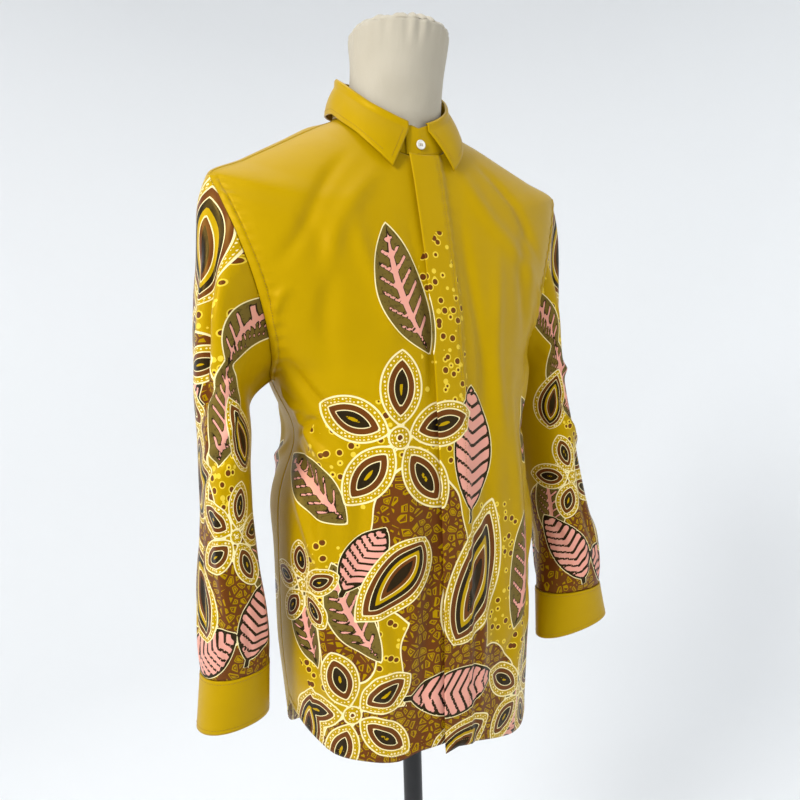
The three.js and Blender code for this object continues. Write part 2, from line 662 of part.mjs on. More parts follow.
// The places round the neckline where the pieces below have their columns, from the left
// front's end over the fly, round the neck, to the right front's end under it.
function necklinePlaces() {
  const ofFront = (side) => {
    const table = FRONTS[side];
    const start = FRONT_X_COLUMNS.at(-1);
    const first = acrossAt(table, start, NECK_LEVEL);
    const acrosses = [...FRONT_X_COLUMNS.slice(0, -1).map(
      (x) => acrossAt(table, x, NECK_LEVEL)),
    ...steps(0, 1, FRONT_SIDE_SPANS).map((share) => first + (1 - first) * share)];
    return acrosses.map((across) => (
      { at: panelPoint(table, side, across, NECK_LEVEL), angle: 90 * side * across }));
  };
  const ofYoke = (side) => steps(NECK_SEAM_COLUMN, 0, NECK_SEAM_COLUMN).map((column) => {
    const angle = side * (180 - 90 * column / NECK_SEAM_COLUMN);
    return { at: loopPoint(BACK_NECKLINE, angle), angle };
  });
  return [...ofFront(LEFT), ...ofYoke(LEFT).slice(1),
    ...ofYoke(RIGHT).reverse().slice(1), ...ofFront(RIGHT).reverse().slice(1)];
}

const STAND_ROWS = 3;
const STAND_LIFT = 1.2;          // the stand's foot over the neckline's outer edge
function collarStand() {
  const line = necklinePlaces();
  const isRightEnd = (k) => k >= line.length - FRONT_X_COLUMNS.length;
  const places = steps(0, 1, STAND_ROWS).map((share) => line.map(({ at, angle }, k) => {
    const top = loopPoint(STAND_TOP, angle);
    const place = at.clone().add(point(0, 0, STAND_LIFT)).lerp(top, share);
    return isRightEnd(k) ? place.add(point(0, STAND_LAP, 0)) : place;
  }));
  return wallFromGrid(openGrid(places), FUSED_CLOTH);
}

const COLLAR_SPANS = 32;
const COLLAR_FALL_SHARES = [0.35, 0.7, 1];
const COLLAR_BOW = 2.5;          // the fall bows out between the turn and its edge
const TURN = makeTable(TURN_COLUMNS, COLLAR_TURN_ROWS);
function collarFall() {
  const angles = steps(-180, 180, COLLAR_SPANS).map((a) => {
    const reach = 180 - COLLAR_FRONT_ANGLE;
    return THREE.MathUtils.euclideanModulo(180 + a * reach / 180 + 180, 360) - 180;
  });
  const column = (angle) => {
    const top = loopPoint(STAND_TOP, angle);
    const away = point(top.x, top.y, 0).normalize();
    const step = (out, up) => top.clone().addScaledVector(away, out).add(point(0, 0, up));
    const turn = TURN.out.map((out, k) => step(out, TURN.up[k]));
    const edge = loopPoint(COLLAR_EDGE, angle);
    const fall = COLLAR_FALL_SHARES.map((share) => turn.at(-1).clone().lerp(edge, share)
      .addScaledVector(away, COLLAR_BOW * 4 * share * (1 - share)));
    return [...turn, ...fall].reverse();
  };
  const columns = angles.map(column);
  const places = columns[0].map((_, r) => columns.map((line) => line[r]));
  return wallFromGrid(openGrid(places), FUSED_CLOTH);
}

/* ---------------------------------------------------------------- buttons */

const BUTTON_SIDES = 12;
const BUTTON_RIM = 0.5;
const BUTTON_LIFT = 0.7;         // a sewn-on button stands this far off its cloth
function buttonGeometry() {
  const radius = BUTTON_DIAMETER / 2;
  const profile = [[0, 0], [radius, 0], [radius, BUTTON_THICK - BUTTON_RIM],
    [radius - BUTTON_RIM, BUTTON_THICK], [0, BUTTON_THICK]];
  return new THREE.LatheGeometry(profile.map(([r, h]) => new THREE.Vector2(r, h)), BUTTON_SIDES);
}

// A button whose back lies at a point, facing along a direction.
function placeButton(mesh, at, out) {
  mesh.position.copy(at);
  mesh.quaternion.setFromUnitVectors(point(0, 1, 0), out.clone().normalize());
}

/* ---------------------------------------------------------------- dress form */

const FORM = makeTable(FORM_COLUMNS, FORM_ROWS);
const FORM_SPANS = 32;
const neckCentreY = (z) => NECK_ROOT.y - (z - NECK_ROOT.z) * NECK_TILT;

function formRing(z) {
  const get = (name) => read(FORM, 'z', name, z);
  const middle = (get('front') + get('back')) / 2;
  const deep = (get('back') - get('front')) / 2;
  return steps(0, 360, FORM_SPANS).slice(0, -1).map((a) => point(
    get('half') * signedPower(Math.sin(radians(a)), 2 / get('square')),
    middle - deep * signedPower(Math.cos(radians(a)), 2 / get('square')), z));
}
function neckRing(z, radius = NECK_RADIUS) {
  return steps(0, 360, FORM_SPANS).slice(0, -1).map((a) => point(
    radius * Math.sin(radians(a)), neckCentreY(z) - radius * Math.cos(radians(a)), z));
}

// A closed solid through rings of equal count, each cap a fan from its middle.
function solidFromRings(rings) {
  const count = rings[0].length;
  const positions = rings.flat().flatMap((p) => p.toArray());
  const triangles = [];
  for (let r = 0; r < rings.length - 1; r += 1) {
    for (let c = 0; c < count; c += 1) {
      const a = r * count + c;
      const b = r * count + ((c + 1) % count);
      triangles.push(a, b, b + count, a, b + count, a + count);
    }
  }
  const cap = (ring, base, isTop) => {
    const middle = ring.reduce((sum, p) => sum.add(p), point(0, 0, 0))
      .divideScalar(count);
    const id = positions.length / 3;
    positions.push(...middle.toArray());
    for (let c = 0; c < count; c += 1) {
      const a = base + c;
      const b = base + ((c + 1) % count);
      triangles.push(...(isTop ? [a, b, id] : [b, a, id]));
    }
  };
  cap(rings[0], 0, false);
  cap(rings.at(-1), (rings.length - 1) * count, true);
  return indexedMesh(positions, triangles);
}

const FORM_RING_HEIGHTS = [FORM_BOTTOM, 830, 880, 940, 1000, 1060, 1120, 1180, 1230, 1275,
  1310, 1340, 1366, 1382, 1394, 1406, 1418, 1430, 1441, 1449];
const NECK_RING_HEIGHTS = [1459, 1478, 1500, 1525, 1543, NECK_TOP];
const NECK_EDGE_RADIUS = 2;
const FORM_FOOT_RADIUS = 6;      // the bottom edge is eased by this
function formTorso() {
  const body = FORM_RING_HEIGHTS.map(formRing);
  const foot = formRing(FORM_BOTTOM).map((p) => {
    const shrink = 1 - FORM_FOOT_RADIUS / Math.hypot(p.x, p.y);
    return point(p.x * shrink, p.y * shrink, p.z - FORM_FOOT_RADIUS);
  });
  const neck = NECK_RING_HEIGHTS.map((z) => neckRing(z,
    z === NECK_TOP ? NECK_RADIUS - NECK_EDGE_RADIUS : NECK_RADIUS));
  return solidFromRings([foot, ...body, ...neck]);
}

const CAP_RING_SHARES = [1, 0.97, 0.86, 0.66, 0.42, 0.18];
function formNeckCap() {
  const foot = NECK_TOP + SEAM_GAP;
  const radius = NECK_RADIUS - NECK_EDGE_RADIUS;
  const base = neckRing(NECK_TOP, radius - NECK_EDGE_RADIUS).map((p) => p.setZ(foot));
  const dome = CAP_RING_SHARES.slice(1).map((share) => neckRing(NECK_TOP, radius * share)
    .map((p) => p.setZ(foot + NECK_CAP_RISE * Math.sqrt(1 - share * share))));
  return solidFromRings([base, ...dome]);
}

/* ---------------------------------------------------------------- stand of the form */

const POLE_SIDES = 24;
const BASE_SIDES = 48;
const SOCKET_EASE = 3;
const BASE_EASE = 3;
const baseTop = BASE_HEIGHT + BASE_CROWN;
const FORM_PLATE_HEIGHT = 14;
const FORM_PLATE_DIAMETER = 110;

function turned(profile, sides) {
  const geometry = new THREE.LatheGeometry(
    profile.map(([r, h]) => new THREE.Vector2(r, h)), sides);
  return geometry.rotateX(Math.PI / 2);
}
function baseDisc() {
  const radius = BASE_DIAMETER / 2;
  return turned([[0, 0], [radius - 1, 0], [radius, 1], [radius, BASE_HEIGHT - BASE_EASE],
    [radius - BASE_EASE, BASE_HEIGHT], [radius * 0.5, BASE_HEIGHT + BASE_CROWN * 0.75],
    [POLE_SOCKET_DIAMETER / 2 + 4, baseTop], [0, baseTop]], BASE_SIDES);
}
function poleSocket() {
  const radius = POLE_SOCKET_DIAMETER / 2;
  const bore = POLE_DIAMETER / 2 + SEAM_GAP;
  const foot = baseTop + SEAM_GAP;
  const top = foot + POLE_SOCKET_HEIGHT;
  return turned([[bore, foot], [radius, foot], [radius, foot + 12],
    [radius - 6, foot + 16], [radius - 6, top - SOCKET_EASE],
    [radius - 6 - SOCKET_EASE / 2, top], [bore, top], [bore, foot]], POLE_SIDES);
}
function pole() {
  const radius = POLE_DIAMETER / 2;
  const foot = baseTop + SEAM_GAP;
  const top = FORM_BOTTOM - FORM_FOOT_RADIUS - SEAM_GAP;
  return turned([[0, foot], [radius, foot], [radius, top], [0, top]], POLE_SIDES);
}
function formPlate() {
  const top = FORM_BOTTOM - FORM_FOOT_RADIUS - SEAM_GAP;
  const foot = top - FORM_PLATE_HEIGHT;
  const bore = POLE_DIAMETER / 2 + SEAM_GAP;
  const radius = FORM_PLATE_DIAMETER / 2;
  return turned([[bore, foot], [radius - 16, foot], [radius, top - 4], [radius, top],
    [bore, top], [bore, foot]], POLE_SIDES);
}

/* ---------------------------------------------------------------- the whole object */

const finish = (color, roughness, metalness = 0) => () => new THREE.MeshStandardMaterial(
  { color, roughness, metalness });
const gold = finish('#bd9a0c', 0.55);
const canvas = finish('#dcd6c8', 0.9);
const pearl = finish('#dcdad2', 0.25);
const black = finish('#0d0d0e', 0.4, 0.6);

const shirtOnForm = new THREE.Group();
function add(name, geometry, material) {
  const mesh = new THREE.Mesh(geometry, material());
  mesh.name = name;
  shirtOnForm.add(mesh);
  return mesh;
}

add('right_front', front(RIGHT), gold);
add('left_front', front(LEFT), gold);
add('fly_underlay', flyUnderlay(), gold);
add('back', back(), gold);
add('yoke', yoke(), gold);
add('right_sleeve', sleeve(RIGHT), gold);
add('left_sleeve', sleeve(LEFT), gold);
add('right_cuff', cuff(RIGHT), gold);
add('left_cuff', cuff(LEFT), gold);
add('collar_stand', collarStand(), gold);
add('collar_fall', collarFall(), gold);

for (let k = 0; k < FLY_BUTTONS; k += 1) {
  const height = LOWEST_FLY_BUTTON + k * FLY_BUTTON_PITCH;
  const level = levelAtHeight(height);
  const { at, out } = frontVertex(LEFT, 0, undefined, level, UNDERLAY_RISE + SEAM_GAP);
  placeButton(add(`fly_button_${k + 1}`, buttonGeometry(), pearl), at, out);
}
function levelAtHeight(height) {
  let low = 0;
  let high = NECK_LEVEL;
  while (high - low > PROBE) {
    const middle = (low + high) / 2;
    if (read(FRONTS[LEFT], 'level', 'zCentre', middle) < height) low = middle;
    else high = middle;
  }
  return low;
}

const neckFront = panelPoint(FRONTS[LEFT], LEFT, 0, NECK_LEVEL);
const standTopFront = loopPoint(STAND_TOP, 0);
const standRise = (COLLAR_BUTTON_HEIGHT - neckFront.z) / (standTopFront.z - neckFront.z);
const standFacing = point(0, neckFront.z - standTopFront.z, standTopFront.y - neckFront.y);
placeButton(add('collar_button', buttonGeometry(), pearl),
  neckFront.clone().lerp(standTopFront, standRise).add(point(0, -BUTTON_LIFT, 0)), standFacing);

const CUFF_BUTTON_ANGLE = 300;
const CUFF_BUTTON_LIFT = 0.9;
for (const [side, name] of [[RIGHT, 'right_cuff_button'], [LEFT, 'left_cuff_button']]) {
  const at = cuffPoint(side, CUFF_BUTTON_ANGLE, CUFF_BUTTON_HEIGHT);
  const round = cuffPoint(side, CUFF_BUTTON_ANGLE + 1, CUFF_BUTTON_HEIGHT)
    .sub(cuffPoint(side, CUFF_BUTTON_ANGLE - 1, CUFF_BUTTON_HEIGHT));
  const out = point(-round.y, round.x, 0).multiplyScalar(side).normalize();
  placeButton(add(name, buttonGeometry(), pearl), at.addScaledVector(out, CUFF_BUTTON_LIFT), out);
}

add('form_torso', formTorso(), canvas);
add('form_neck_cap', formNeckCap(), canvas);
add('form_plate', formPlate(), black);
add('pole', pole(), black);
add('pole_socket', poleSocket(), black);
add('base_disc', baseDisc(), black);

export default shirtOnForm;
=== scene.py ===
import math

import bpy
import mathutils
import numpy as np
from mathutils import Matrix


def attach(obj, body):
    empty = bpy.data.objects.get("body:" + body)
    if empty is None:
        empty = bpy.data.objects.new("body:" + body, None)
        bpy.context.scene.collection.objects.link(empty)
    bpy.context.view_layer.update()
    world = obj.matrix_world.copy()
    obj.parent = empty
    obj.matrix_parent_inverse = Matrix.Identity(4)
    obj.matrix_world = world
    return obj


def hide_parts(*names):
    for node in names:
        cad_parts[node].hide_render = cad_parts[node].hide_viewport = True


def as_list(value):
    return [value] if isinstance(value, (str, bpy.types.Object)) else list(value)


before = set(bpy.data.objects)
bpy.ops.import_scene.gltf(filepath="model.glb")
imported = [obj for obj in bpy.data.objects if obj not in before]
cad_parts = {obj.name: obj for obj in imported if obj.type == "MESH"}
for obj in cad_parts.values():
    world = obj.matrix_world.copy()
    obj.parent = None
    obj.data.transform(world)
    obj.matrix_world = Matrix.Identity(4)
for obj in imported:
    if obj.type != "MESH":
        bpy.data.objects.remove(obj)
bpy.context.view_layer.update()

RIGHT, LEFT = -1, 1
MM = 0.001


# ------------------------------------------------------------------ tables and curves

def table(columns, rows):
    return dict(zip(columns.split(), np.array(rows, float).T))


def read(data, key, name, at):
    """Smooth curve through one column of a table against another, never past a row."""
    keys, values = data[key], data[name]
    at = np.clip(at, keys[0], keys[-1])
    width = np.diff(keys)
    slope = np.diff(values) / width
    tangent = np.zeros(len(keys))
    tangent[0], tangent[-1] = slope[0], slope[-1]
    for k in range(1, len(keys) - 1):
        if slope[k - 1] * slope[k] > 0:
            tangent[k] = (width[k - 1] + width[k]) / (width[k] / slope[k - 1] + width[k - 1] / slope[k])
    i = np.clip(np.searchsorted(keys, at, side="right") - 1, 0, len(width) - 1)
    t = (at - keys[i]) / width[i]
    return ((2 * t**3 - 3 * t**2 + 1) * values[i] + (t**3 - 2 * t**2 + t) * width[i] * tangent[i]
            + (3 * t**2 - 2 * t**3) * values[i + 1] + (t**3 - t**2) * width[i] * tangent[i + 1])


def signed_power(value, power):
    return np.sign(value) * np.abs(value) ** power


def smoothstep(value, low, high):
    t = np.clip((value - low) / (high - low), 0, 1)
    return t * t * (3 - 2 * t)


def bell(distance):
    return np.exp(-distance * distance)


def stack(x, y, z):
    return np.stack(np.broadcast_arrays(x, y, z), axis=-1)


def unit(vectors):
    return vectors / np.maximum(np.linalg.norm(vectors, axis=-1, keepdims=True), 1e-9)


# ------------------------------------------------------------------ the shirt's own sizes

# Sections of a front and of the back: heights at the centre line and at the edge, the edge's
# place, and how far round its oval the section reaches. Level 6 is the armpit, 9 the shoulder
# point, 11 the neckline, and the back ends at 8.5, at the yoke.
PANEL = "level z_centre z_edge x_edge y_edge y_centre wrap"
FRONT_BELOW = [(0, 680, 680, 158, 0, -111, 90), (1, 780, 780, 166, 0, -111, 90),
               (2, 860, 860, 171, 0, -114, 90), (3, 940, 940, 170, 0, -115, 90),
               (4, 1020, 1020, 166, 0, -114, 90), (5, 1100, 1100, 162, 0, -110, 90),
               (6, 1160, 1160, 170, 0, -106, 90)]
RIGHT_ARMHOLE = [(6.5, 1192, 1190, 178, -38, -103, 76), (7, 1228, 1225, 187, -54, -100, 69),
                 (7.5, 1262, 1270, 199, -60, -95, 66), (8, 1295, 1315, 212, -53, -89, 66),
                 (8.5, 1322, 1353, 223, -37, -83, 68)]
LEFT_ARMHOLE = [(6.5, 1192, 1190, 173, -28, -103, 76), (7, 1228, 1225, 180, -42, -100, 69),
                (7.5, 1262, 1270, 189, -46, -95, 66), (8, 1295, 1315, 203, -42, -89, 66),
                (8.5, 1322, 1353, 218, -30, -83, 68)]
FRONT_ABOVE = [(9, 1343, 1379, 228, -18, -78, 70), (9.5, 1360, 1398, 190, -14, -74, 66),
               (10, 1377, 1418, 151, -9, -70, 64), (10.5, 1392, 1438, 112, -4, -66, 64),
               (11, 1406, 1457, 72, 4, -62, 80)]
FRONTS = {RIGHT: table(PANEL, FRONT_BELOW + RIGHT_ARMHOLE + FRONT_ABOVE),
          LEFT: table(PANEL, FRONT_BELOW + LEFT_ARMHOLE + FRONT_ABOVE)}
BACK = table(PANEL, [
    (0, 680, 680, 158, 0, 112, 90), (1, 780, 780, 166, 0, 114, 90),
    (2, 860, 860, 171, 0, 115, 90), (3, 940, 940, 170, 0, 113, 90),
    (4, 1020, 1020, 166, 0, 108, 90), (5, 1100, 1100, 162, 0, 104, 90),
    (6, 1160, 1160, 170, 0, 105, 90), (6.5, 1192, 1190, 176, 36, 107, 76),
    (7, 1230, 1225, 185, 58, 109, 69), (7.5, 1270, 1270, 197, 66, 109, 66),
    (8, 1312, 1315, 210, 62, 107, 66), (8.5, 1352, 1353, 222, 44, 103, 70)])
SQUARENESS = 2.3

HEM = "across height"
RIGHT_HEM = [(0, 728), (0.15, 727), (0.27, 720), (0.45, 725), (0.61, 731), (0.74, 745),
             (0.88, 760), (1, 772)]
LEFT_HEM = [(0, 722), (0.11, 714), (0.28, 702), (0.38, 696), (0.5, 693), (0.6, 696),
            (0.75, 709), (0.88, 730), (1, 750)]
BACK_HEM = [(0, 690), (0.3, 690), (0.5, 695), (0.7, 709), (0.85, 732)]
FRONT_HEMS = {RIGHT: table(HEM, RIGHT_HEM), LEFT: table(HEM, LEFT_HEM)}
BACK_HEMS = {RIGHT: table(HEM, BACK_HEM + RIGHT_HEM[-1:]), LEFT: table(HEM, BACK_HEM + LEFT_HEM[-1:])}

# The body's largest folds: a hollow pressed into one side. side y z reach_y reach_z depth
BODY_FOLDS = [(RIGHT, 5, 1096, 70, 44, 19), (RIGHT, 62, 1012, 45, 40, -9),
              (LEFT, 20, 1090, 60, 60, 9), (LEFT, 70, 990, 45, 55, -6)]

LOOP = "angle x y z"
BACK_NECKLINE = table(LOOP, [(90, 72, 4, 1457), (110, 68, 29, 1463), (135, 52, 52, 1468),
                             (160, 26, 66, 1470), (180, 0, 69, 1470)])
STAND_TOP = table(LOOP, [(0, 0, -57, 1439), (25, 29, -50, 1451), (50, 52, -33, 1468),
                         (75, 63, -8, 1488), (90, 65, 10, 1499), (110, 60, 31, 1508),
                         (135, 45, 51, 1512), (160, 22, 61, 1514), (180, 0, 64, 1514)])
COLLAR_EDGE = table(LOOP, [(10, 40, -69, 1393), (25, 52, -63, 1406), (50, 69, -43, 1430),
                           (75, 78, -11, 1452), (90, 79, 8, 1463), (110, 76, 34, 1468),
                           (135, 59, 61, 1471), (160, 30, 77, 1472), (180, 0, 81, 1472)])

SLEEVE = "z x_centre y_centre half_across half_deep turn"
SLEEVES = {
    RIGHT: table(SLEEVE, [
        (843, 232, -15, 38, 33, -12), (870, 232, -15, 39, 38, -6), (910, 232, -14, 37, 46, 0),
        (950, 232, -12, 33, 50, 4), (990, 231, -10, 30, 54, 8), (1030, 230, -9, 28, 56, 10),
        (1070, 229, -8, 28, 59, 12), (1110, 227, -8, 29, 63, 13), (1150, 228, -8, 29, 65, 15),
        (1200, 224, -8, 30, 68, 15), (1250, 221, -8, 29, 70, 15), (1300, 219, -8, 26, 66, 15),
        (1350, 217, -6, 24, 56, 12), (1390, 215, 0, 22, 40, 8)]),
    LEFT: table(SLEEVE, [
        (843, 240, -36, 48, 29, -6), (870, 244, -32, 47, 36, -6), (910, 246, -24, 44, 43, -6),
        (950, 239, -14, 40, 49, -4), (990, 232, -6, 36, 55, 0), (1030, 226, 2, 33, 59, 4),
        (1070, 220, 8, 31, 62, 8), (1110, 213, 14, 30, 65, 10), (1150, 207, 12, 29, 64, 10),
        (1200, 204, 10, 27, 63, 8), (1250, 203, 8, 25, 60, 8), (1300, 204, 6, 24, 56, 8),
        (1350, 208, 3, 22, 50, 8), (1390, 212, 2, 21, 38, 6)])}
SETTLE = table("angle drop", [(0, 45), (90, 85), (180, 30), (270, 85), (360, 45)])
# side angle_top angle_foot z_top z_foot width depth
SLEEVE_VALLEYS = [(RIGHT, 52, 66, 1395, 1150, 17, 17), (LEFT, 64, 58, 1330, 1120, 17, 12)]
CUFF = SLEEVE + " lean"
CUFFS = {RIGHT: table(CUFF, [(782, 237, -14, 42, 30, -13, 0), (843, 232, -15, 39, 33, -12, 0)]),
         LEFT: table(CUFF, [(788, 241, -42, 56, 26, -6, 0.16), (843, 240, -36, 50, 30, -6, 0)])}

FORM = table("z half front back square", [
    (800, 148, -92, 92, 2.3), (860, 154, -98, 99, 2.3), (940, 150, -98, 97, 2.3),
    (1020, 142, -95, 90, 2.3), (1090, 134, -92, 86, 2.3), (1160, 148, -93, 92, 2.3),
    (1230, 164, -88, 97, 2.3), (1290, 178, -78, 97, 2.2), (1335, 189, -66, 94, 2.1),
    (1365, 194, -56, 88, 2.0), (1382, 194, -50, 82, 1.85), (1394, 188, -47, 77, 1.65),
    (1406, 171, -46, 72, 1.5), (1418, 147, -47, 68, 1.4), (1430, 119, -48, 64, 1.4),
    (1441, 90, -49, 60, 1.5), (1449, 70, -50, 58, 1.7)])

ARMPIT_LEVEL, SHOULDER_LEVEL, NECK_LEVEL, YOKE_LEVEL = 6, 9, 11, 8.5
FLY_REACH, FLY_STITCH, FLY_BLEND, FLY_RISE = 17.5, 17.5, 12, 5.6
SLEEVE_GAP = 0.6
CUFF_TOP = 843
CUFF_BUTTON_ANGLE, CUFF_BUTTON_HEIGHT = 300, 812
SHELL = 0.9                      # the visible cloth's thickness


# ------------------------------------------------------------------ surfaces of the panels

def panel(data, side, across, level):
    """A point of a body panel: across is 0 at the centre line and 1 at the edge."""
    def get(name):
        return read(data, "level", name, level)
    end = np.radians(get("wrap"))
    angle = end * across
    power = 2 / SQUARENESS

    def forward(a):
        return 1 - np.maximum(np.cos(a), 0) ** power
    x = side * get("x_edge") * signed_power(np.sin(angle) / np.sin(end), power)
    y = get("y_centre") + (get("y_edge") - get("y_centre")) * forward(angle) / forward(end)
    z = get("z_centre") + (get("z_edge") - get("z_centre")) * (np.sin(angle) / np.sin(end)) ** 2
    waist = read(BACK, "level", "x_edge", 4)
    for whose, fold_y, fold_z, reach_y, reach_z, depth in BODY_FOLDS:
        strength = bell((y - fold_y) / reach_y) * bell((z - fold_z) / reach_z)
        sideways = np.minimum(1, np.abs(x) / waist) ** 2
        x = x - np.where(x * whose > 0, whose * depth * strength * sideways, 0)
    return stack(x, y, z)


def across_at(data, x, level):
    end = np.radians(read(data, "level", "wrap", level))
    share = x / read(data, "level", "x_edge", level)
    return np.arcsin(np.clip(np.sin(end) * signed_power(share, SQUARENESS / 2), -1, 1)) / end


def loop(data, angle):
    at = np.abs(angle)
    side = np.where(angle < 0, -1, 1)
    return stack(side * read(data, "angle", "x", at), read(data, "angle", "y", at),
                 read(data, "angle", "z", at))


def normals(places, around=False):
    """Unit normals of a grid whose columns run from the right to the left and rows upwards."""
    if around:
        along = np.roll(places, -1, axis=1) - np.roll(places, 1, axis=1)
    else:
        along = np.gradient(places, axis=1)
    return unit(np.cross(along, np.gradient(places, axis=0)))


def path_length(places, axis):
    step = np.linalg.norm(np.diff(places, axis=axis), axis=-1)
    start = np.zeros_like(np.take(step, [0], axis=axis))
    return np.concatenate([start, np.cumsum(step, axis=axis)], axis=axis)


def hem_level(height):
    return (height - 680) / 100


FRONT_ROWS = (150, 74, 54)       # below the armpit, up the armhole, along the shoulder
FRONT_EDGE_COLUMNS, FRONT_SIDE_COLUMNS = 20, 74


def front_grid(side):
    """Outer points of a front, columns from the centre edge to the side."""
    data = FRONTS[side]
    start = FLY_STITCH + FLY_BLEND
    xs = np.linspace(-FLY_REACH, start, FRONT_EDGE_COLUMNS)
    shares = np.linspace(0, 1, FRONT_SIDE_COLUMNS)[1:]
    below, beside, above = FRONT_ROWS
    upper = np.concatenate([np.linspace(ARMPIT_LEVEL, SHOULDER_LEVEL, beside + 1),
                            np.linspace(SHOULDER_LEVEL, NECK_LEVEL, above + 1)[1:]])
    rise = np.linspace(0, 1, below + 1)[:-1]

    def columns(level):
        first = across_at(data, start, level)
        near = np.stack([across_at(data, x, level) for x in xs], axis=1)
        return np.concatenate([near, first[:, None] + (1 - first[:, None]) * shares], axis=1)
    level = np.concatenate([rise * ARMPIT_LEVEL, upper])[:, None] + np.zeros(len(xs) + len(shares))
    for _ in range(3):
        across = np.stack([columns(level[:, k])[:, k] for k in range(level.shape[1])], axis=1)
        hem = hem_level(read(FRONT_HEMS[side], "across", "height", np.abs(across[:below])))
        level[:below] = hem + (ARMPIT_LEVEL - hem) * rise[:, None]
    return across, level


def build_front(side):
    across, level = front_grid(side)
    places = panel(FRONTS[side], side, across, level)
    if side == RIGHT:
        places, across, level = places[:, ::-1], across[:, ::-1], level[:, ::-1]
    out = normals(places)
    from_centre = side * places[..., 0]
    if side == LEFT:
        places = places + out * (FLY_RISE * (1 - smoothstep(from_centre, FLY_STITCH,
                                                            FLY_STITCH + FLY_BLEND)))[..., None]
    ahead = path_length(places, 1)
    centre = np.argmin(np.abs(places[..., 0]), axis=1)
    s = ahead - np.take_along_axis(ahead, centre[:, None], axis=1)
    return {"places": places, "s": s, "z": places[..., 2], "across": across, "level": level}


BACK_ROWS = (134, 58)
BACK_COLUMNS = 128


def build_back():
    below, beside = BACK_ROWS
    across = np.linspace(1, -1, BACK_COLUMNS)[None, :] + np.zeros((below + beside + 1, 1))
    side = np.where(across < 0, RIGHT, LEFT)
    hem = np.where(side < 0, *[hem_level(read(BACK_HEMS[s], "across", "height", np.abs(across)))
                               for s in (RIGHT, LEFT)])
    rise = np.linspace(0, 1, below + 1)[:-1, None]
    upper = np.linspace(ARMPIT_LEVEL, YOKE_LEVEL, beside + 1)[:, None]
    level = np.concatenate([hem[:below] + (ARMPIT_LEVEL - hem[:below]) * rise,
                            upper + np.zeros(BACK_COLUMNS)])
    places = panel(BACK, side, np.abs(across), level)
    ahead = path_length(places, 1)
    s = ahead - (ahead[:, [BACK_COLUMNS // 2 - 1]] + ahead[:, [BACK_COLUMNS // 2]]) / 2
    return {"places": places, "s": s, "z": places[..., 2], "across": across, "level": level}


YOKE_SHIFT = np.array((0, 0.8, 0.4))
SEAM_LEVELS = np.array((11, 10.5, 10, 9.5, 9.25, 9))
NECK_COLUMN_X = (0, 17, 34, 51)
YOKE_ROWS, YOKE_COLUMNS = 36, 140


def yoke_point(side, column, share):
    """column: 0 at the centre back, 4 at the neck's side, 9 at the sleeve."""
    seam_at = np.clip(column - 4, 0, 5)
    seam_level = np.interp(seam_at, np.arange(6), SEAM_LEVELS)
    at_neck = loop(BACK_NECKLINE, side * (180 - 90 * np.clip(column / 4, 0, 1)))
    on_seam = panel(FRONTS[RIGHT], side, 1 + 0 * column, seam_level)
    on_seam_left = panel(FRONTS[LEFT], side, 1 + 0 * column, seam_level)
    on_seam = np.where((side > 0)[..., None], on_seam_left, on_seam)
    start = np.where((column < 4)[..., None], at_neck, on_seam) + YOKE_SHIFT
    edge_x = read(FRONTS[RIGHT], "level", "x_edge", SEAM_LEVELS) * 222 / 228
    x = np.interp(column, np.arange(10), (*NECK_COLUMN_X, *edge_x))
    end = panel(BACK, side, np.minimum(1, across_at(BACK, x, YOKE_LEVEL)), YOKE_LEVEL + 0 * x)
    end = end + (0, 0, 0.7)
    seam = smoothstep(column, 2.5, 5)[..., None]
    leaving = unit(np.array((0, 0.6, -0.8)) * (1 - seam) + np.array((0, 0.92, 0.4)) * seam)
    arriving = unit(np.array((0, -0.3, 0.95)))
    reach = np.linalg.norm(end - start, axis=-1, keepdims=True) * 0.38
    one, two = start + leaving * reach, end + arriving * reach
    t = share[..., None]
    return ((1 - t)**3 * start + 3 * t * (1 - t)**2 * one + 3 * t**2 * (1 - t) * two + t**3 * end)


def build_yoke():
    signed = np.linspace(9, -9, YOKE_COLUMNS)[None, :]
    share = np.linspace(1, 0, YOKE_ROWS)[:, None]
    signed, share = np.broadcast_arrays(signed, share)
    side = np.where(signed < 0, RIGHT, LEFT)
    places = yoke_point(side, np.abs(signed), share)
    return {"places": places, "s": places[..., 0], "z": places[..., 2] + 0 * share}


# ------------------------------------------------------------------ sleeves and cuffs

def armhole(side, angle):
    """The armhole's edge by the angle round the sleeve: 0 on top, 90 in front, 180 below."""
    angle = np.where(angle < 18, angle + 360, angle)
    on_front = panel(FRONTS[side], side, 1 + 0 * angle,
                     SHOULDER_LEVEL - 3 * np.clip((angle - 18) / 162, 0, 1))
    on_back = panel(BACK, side, 1 + 0 * angle, ARMPIT_LEVEL + 2.5 * np.clip((angle - 180) / 145, 0, 1))
    share = 1 - np.clip((angle - 325) / 53, 0, 1)
    on_yoke = yoke_point(np.full(angle.shape, side), 9 + 0 * angle, share)
    front_part, yoke_part = (angle <= 180)[..., None], (angle > 325)[..., None]
    return np.where(front_part, on_front, np.where(yoke_part, on_yoke, on_back))


def oval(data, side, angle, z, inset):
    def get(name):
        return read(data, "z", name, z)
    turn, round_at, power = np.radians(get("turn")), np.radians(angle), 2 / 2.2
    across = (get("half_across") - inset) * signed_power(np.cos(round_at), power)
    forward = (get("half_deep") - inset) * signed_power(np.sin(round_at), power)
    x = get("x_centre") + across * np.cos(turn) + forward * np.sin(turn)
    y = get("y_centre") + across * np.sin(turn) - forward * np.cos(turn)
    return stack(side * x, y, z)


SLEEVE_ROWS, SLEEVE_COLUMNS = 176, 108


